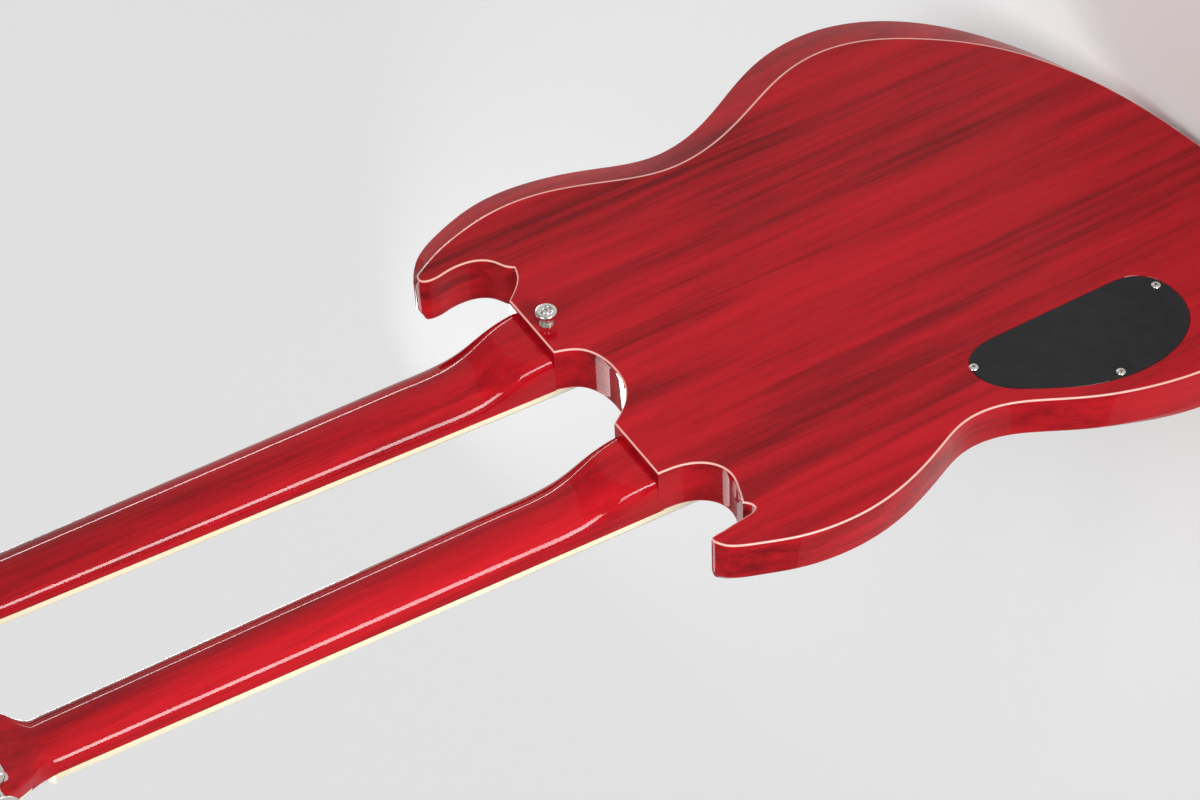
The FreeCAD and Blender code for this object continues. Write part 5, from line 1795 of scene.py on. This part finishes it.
class GUITAR_OT_controls(bpy.types.Operator):
    """Builds the knobs, selector switches, control pots and output jack"""

    bl_idname = "guitar.controls"
    bl_label = "Controls"

    def execute(self, context):
        rib = spare("knob_rib", slab([(-0.5, -0.28), (0.45, -0.28), (0.45, 0.28), (-0.5, 0.28)],
                                     -3.6, 3.6, 0.05, 0.1, 1))
        for share, name in zip(knob_shares, knob_names):
            self.add_knob(name, on_cover(share), rib)
        bpy.data.objects.remove(rib)
        self.add_lever("neck_selector_lever", selectors["neck"])
        self.add_lever("pickup_selector_lever", selectors["pickup"])
        self.add_fixed_parts()
        return {"FINISHED"}

    def add_knob(self, name, spot, rib):
        base, top = knob_gap, knob_gap + knob_height
        place = FRONT @ shift(*spot, 0)
        profile = eased([(0, base), (knob_radius, base), (knob_radius, base + 2.2),
                         (10.9, base + 3.4), (10.4, base + 11.0), (9.6, top), (7.4, top),
                         (6.8, top - 0.5), (0, top - 0.5)], 0.9, 3)
        form = Form().join(turned(profile, 48), place)
        form.join(rod(shaft_radius, -front_wall, base + 1), place, 1)
        mark = slab([(-0.5, 2.0), (0.5, 2.0), (0.5, 6.2), (-0.5, 6.2)], top - 0.7, top - 0.28,
                    0.05, 0.1, 1)
        form.join(mark, place, 2)
        piece(f"{name}_turned", mesh_of(name, form), ["knob_plastic", "switch_metal",
                                                      "cream_binding"], name, [name])
        grip = grown(f"{name}_ribs", bpy.data.meshes.new("rib_base"), "ribs", {
            "Ring radius": knob_rib_ring * MM, "Height": (base + knob_rib_height) * MM,
            "Rib": rib, "Count": knob_ribs, "Material": material("knob_plastic")})
        move_to(grip, place)
        piece(f"{name}_ribs", grip, ["knob_plastic"], name)

    def add_lever(self, name, spot):
        place = FRONT @ shift(*spot, 0)
        top = guard_thickness + bushing_rise + lever_length
        tip = top - lever_tip_length
        shaft = rod(lever_radius, -lever_pivot_depth - 1.5, tip + 1, 24)
        form = Form().join(shaft, place, 1)
        ball = Matrix.Rotation(math.pi / 2, 4, "Y" if name.startswith("pickup") else "X")
        barrel = rod(2.2, -3.7, 3.7, 24)
        form.join(barrel, place @ shift(0, 0, -lever_pivot_depth) @ ball, 1)
        cap = eased([(0, tip), (2.2, tip), (2.5, tip + 2.5), (lever_tip_radius, top - 3.4),
                     (lever_tip_radius, top - 0.8), (1.6, top), (0, top)], 1.6, 4)
        form.join(turned(cap, 32), place, 0)
        piece(f"{name}_dressed", mesh_of(name, form), ["lever_plastic", "switch_metal"], name,
              [name])

    def add_fixed_parts(self):
        form = Form()
        collar = [(4.0, 0.2), (bushing_radius, 0.2), (bushing_radius, 5.6), (5.3, 5.9),
                  (4.3, 5.9), (4.0, 5.5), (4.0, 0.2)]
        for spot in selectors.values():
            place = FRONT @ shift(*spot, 0)
            form.join(turned(collar, 36), place)
            form.join(slab(circle(7.6, 48, 0.35), guard_thickness, guard_thickness + 1.5, 0.1,
                           0.4, 2), place)
        for share in knob_shares:
            place = FRONT @ shift(*on_cover(share), 0)
            can = eased([(0, -front_wall - pot_depth), (pot_radius, -front_wall - pot_depth),
                         (pot_radius, -front_wall - 0.1), (0, -front_wall - 0.1)], 1.2, 3)
            form.join(turned(can, 36), place)
            nut = plate(circle(5.4, 6), edge_profile(0.5, 2.6, 0.1, 0.4, 2), circle(3.2, 36))
            form.join(washer(3.2, 6.6, 0.5, 36), place).join(nut, place)
        place = FRONT @ shift(*on_cover(jack_share), 0)
        foot = jack_nut_thickness - jack_barrel_length
        bore = [(jack_bore_radius, foot), (jack_radius, foot), (jack_radius, 3.0), (4.4, 3.4),
                (3.6, 3.4), (jack_bore_radius, 3.0), (jack_bore_radius, foot)]
        nut = plate(circle(jack_nut_radius, 6), edge_profile(0.6, jack_nut_thickness, 0.1, 0.5, 2),
                    circle(4.75, 36))
        for ring in (turned(bore, 36), washer(4.8, 8.6, 0.6, 40), nut):
            form.join(ring, place)
        fixed_piece("switches_pots_and_jack", form, ["switch_metal"], "electronics")


def guard_outline(left, width, bottom, top):
    """Pickguard outline with eased corners and a tapered foot, in x and z."""
    tall = top - bottom
    corner = [(left + x * width, bottom + z * tall) for x, z in guard_corner_shares]
    foot = [(left + x * width, bottom + z * tall) for x, z in guard_foot_shares]
    side = corner + smooth_path(foot, 8)
    mirror = [(2 * left + width - x, z) for x, z in reversed(side)]
    return [tuple(point) for point in eased_loop(side + mirror, 1.5, 2)]


def rod_cover_outline():
    half = rod_cover_width / 2
    waist = (half * 0.8, rod_cover_lift + rod_cover_length / 3)
    side = smooth_path([(half, rod_cover_lift), waist, (0, rod_cover_lift + rod_cover_length)], 8)
    mirror = [(-x, z) for x, z in reversed(side[:-1])]
    return side + mirror


class GUITAR_OT_plates(bpy.types.Operator):
    """Builds the pickguards, the truss rod covers and the rear control cover"""

    bl_idname = "guitar.plates"
    bl_label = "Plates"

    def execute(self, context):
        sheet, screws, way = Form(), [], way_of(FRONT)
        for name, sizes_of in guards.items():
            outline = guard_outline(*sizes_of)
            sheet.join(plate(outline, guard_profile), FRONT)
            left, width, bottom, top = sizes_of
            for x, z in guard_screw_shares:
                spot = (left + x * width, front_y - guard_thickness, bottom + z * (top - bottom))
                screws.append((spot, way))
        for side in SIDES:
            cover = slab(rod_cover_outline(), 0.1, rod_cover_thickness, 0.1, 0.7)
            sheet.join(cover, HEAD_FACE[side])
            for x, z in rod_cover_screws:
                spot = HEAD_FACE[side] @ Vector((x, z, rod_cover_thickness))
                screws.append((tuple(spot), way_of(HEAD_FACE[side])))
        fixed_piece("layered_pickguards", sheet, ["guard_plastic"], "pickguards", 25.0)
        add_screws("pickguard_screws", screws, screw_head(), sizes().small_screw / MM,
                   "button_metal")
        outline = inset(cover_outline(), 0.1)
        form = Form().join(slab(outline, -cover_thickness, 0, 0.2, 1.0, 6), BACK)
        fixed_piece("control_lid", form, ["cover_plastic"], "rear_cover", 40.0)
        places = [((x, back_y - 0.9, z), way_of(BACK)) for x, z in cover_screws]
        add_screws("control_lid_screws", places, screw_head(), sizes().cover_screw / MM,
                   "button_metal")
        return {"FINISHED"}


class GUITAR_OT_strap_buttons(bpy.types.Operator):
    """Builds the two strap buttons with their screws"""

    bl_idname = "guitar.strap_buttons"
    bl_label = "Strap buttons"

    def execute(self, context):
        base, waist, head = strap_radii
        profile = eased([(0, 0), (base, 0), (waist + 0.4, 4.2), (waist, 6.4), (head, 9.6),
                         (head, 11.2), (head - 1.2, strap_height), (4.4, strap_height),
                         (3.6, strap_height - 0.9), (0, strap_height - 0.9)], 1.4, 4)
        button = turned(profile, 48)
        heel = shift(strap_button_x, back_y, heel_z - strap_button_below_heel) @ turn_x(-90)
        tail = turn_x(180)
        form = Form().join(button, heel).join(button, tail)
        fixed_piece("strap_buttons_turned", form, ["button_metal"], "strap_buttons", 30.0)
        places = [(tuple(spot @ Vector((0, 0, strap_height - 1.2))), way_of(spot))
                  for spot in (heel, tail)]
        add_screws("strap_button_screws", places, screw_head(), strap_screw_radius, "tuner_metal")
        return {"FINISHED"}


# Each broad lamp as its name, the place that it shines from, and its share of the key light
BROAD_LAMPS = (("key_light", (0.9, 1.5, 2.2), 1.0), ("fill_light", (-1.0, -1.6, 1.7), 0.7))
# Each strip as its name, place, aim, width, height and share of the strips' power
STRIPS = (
    ("near_strip", (1.25, 0.72, 0.38), (0.07, 0.0, 0.62), 0.34, 0.7, 1.15),
    ("far_strip", (-1.2, 0.44, 0.38), (-0.07, 0.0, 0.6), 0.06, 0.7, 0.12),
    ("front_strip", (-1.5, -1.5, 0.7), (0, 0, 0.6), 0.12, 1.2, 0.5),
)
LAMP_ANGLE = math.radians(28)
STRIP_SPREAD = math.radians(70)
FLOOR_RADIUS = 14.0
# The camera's place in metres, its right and up axes, and its lens in millimetres
CAMERA_PLACE = (1.2385, 1.4446, 1.1510)
CAMERA_AXES = ((0.516, -0.035, -0.856), (-0.600, 0.699, -0.390))
CAMERA_LENS = 92.93


class GUITAR_OT_stage(bpy.types.Operator):
    """Sets the floor, the lights, the room and the camera"""

    bl_idname = "guitar.stage"
    bl_label = "Stage"

    def execute(self, context):
        scene = bpy.context.scene
        self.add_floor()
        self.add_lamps()
        self.add_room()
        right, up = (Vector(axis).normalized() for axis in CAMERA_AXES)
        back = right.cross(up).normalized()
        up = back.cross(right)
        camera = bpy.data.objects.new("camera", bpy.data.cameras.new("camera"))
        camera.matrix_world = Matrix.Translation(CAMERA_PLACE) @ Matrix(
            (right, up, back)).transposed().to_4x4()
        camera.data.lens = CAMERA_LENS
        camera.data.sensor_width = 36.0
        camera.data.clip_start, camera.data.clip_end = 0.05, 60.0
        scene.collection.objects.link(camera)
        scene.camera = camera
        scene.view_settings.view_transform = "Standard"
        return {"FINISHED"}

    def add_floor(self):
        disc = [(x, y, 0) for x, y in circle(FLOOR_RADIUS, 96)]
        mesh = bpy.data.meshes.new("studio_floor")
        mesh.from_pydata(disc, [], [tuple(range(len(disc)))])
        floor = bpy.data.objects.new("studio_floor", mesh)
        floor.location = (0, 0, -strap_height * MM)
        bpy.context.scene.collection.objects.link(floor)
        made = bpy.data.materials.new("studio_floor")
        board = bare_board(made)
        tint = colours().floor
        grain = board.noise(board.place(), 40.0, 3.0)
        tone = board.mix(grain * 0.3, tint, scaled(tint, 0.97))
        surface(board, tone, 0.75 + grain * 0.1, grain, 0.03, 0.0005)
        mesh.materials.append(made)

    def add_lamps(self):
        light = bpy.context.scene.guitar_stage
        for name, place, share in BROAD_LAMPS:
            data = bpy.data.lights.new(name, "SUN")
            data.energy = light.sun * share
            data.angle = LAMP_ANGLE
            self.hang(name, data, place, (0, 0, 0))
        for name, place, aim, width, height, share in STRIPS:
            data = bpy.data.lights.new(name, "AREA")
            data.shape = "RECTANGLE"
            data.size, data.size_y = width, height
            data.energy = light.strip * share
            data.spread = STRIP_SPREAD
            self.hang(name, data, place, aim)

    def hang(self, name, data, place, aim):
        lamp = bpy.data.objects.new(name, data)
        lamp.location = place
        lamp.rotation_euler = (Vector(place) - Vector(aim)).to_track_quat("Z", "Y").to_euler()
        lamp.visible_camera = False
        bpy.context.scene.collection.objects.link(lamp)

    def add_room(self):
        world = bpy.data.worlds.new("studio_room")
        bpy.context.scene.world = world
        board = bare_board(world)
        tint = opaque(colours().floor)
        lit = board.node("ShaderNodeBackground", {}, {
            "Color": tint, "Strength": bpy.context.scene.guitar_stage.world})
        seen = board.node("ShaderNodeBackground", {}, {
            "Color": opaque(scaled(tint, 0.86)), "Strength": 1.0})
        rays = board.node("ShaderNodeLightPath", output="Is Camera Ray")
        both = board.node("ShaderNodeMixShader", {}, {0: rays, 1: lit, 2: seen})
        board.node("ShaderNodeOutputWorld", {}, {"Surface": both})


STEPS = (GUITAR_OT_body, GUITAR_OT_necks, GUITAR_OT_fingerboards, GUITAR_OT_strings,
         GUITAR_OT_tuners, GUITAR_OT_pickups, GUITAR_OT_bridges, GUITAR_OT_controls,
         GUITAR_OT_plates, GUITAR_OT_strap_buttons, GUITAR_OT_stage)


class GUITAR_PT_panel(bpy.types.Panel):
    """Lists the guitar's pieces and the values that shape them"""

    bl_idname = "GUITAR_PT_panel"
    bl_label = "Double-neck guitar"
    bl_space_type = "VIEW_3D"
    bl_region_type = "UI"
    bl_category = "Guitar"

    def draw(self, context):
        for step in STEPS:
            self.layout.operator(step.bl_idname)
        for group in (context.scene.guitar_sizes, context.scene.guitar_colours,
                      context.scene.guitar_stage):
            for name in group.__annotations__:
                self.layout.prop(group, name)


GROUPS = {"guitar_sizes": GuitarSizes, "guitar_colours": GuitarColours,
          "guitar_stage": GuitarStage}
CLASSES = tuple(GROUPS.values()) + STEPS + (GUITAR_PT_panel,)


def register():
    for kind in CLASSES:
        bpy.utils.register_class(kind)
    for name, group in GROUPS.items():
        setattr(bpy.types.Scene, name, bpy.props.PointerProperty(type=group))


def unregister():
    for name in GROUPS:
        delattr(bpy.types.Scene, name)
    for kind in reversed(CLASSES):
        bpy.utils.unregister_class(kind)


def main():
    register()
    for step in STEPS:
        group, name = step.bl_idname.split(".")
        getattr(getattr(bpy.ops, group), name)()
    for name in ("screw_head", "slotted_head"):
        bpy.data.objects.remove(bpy.data.objects[name])
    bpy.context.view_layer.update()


if __name__ == "__main__":
    main()
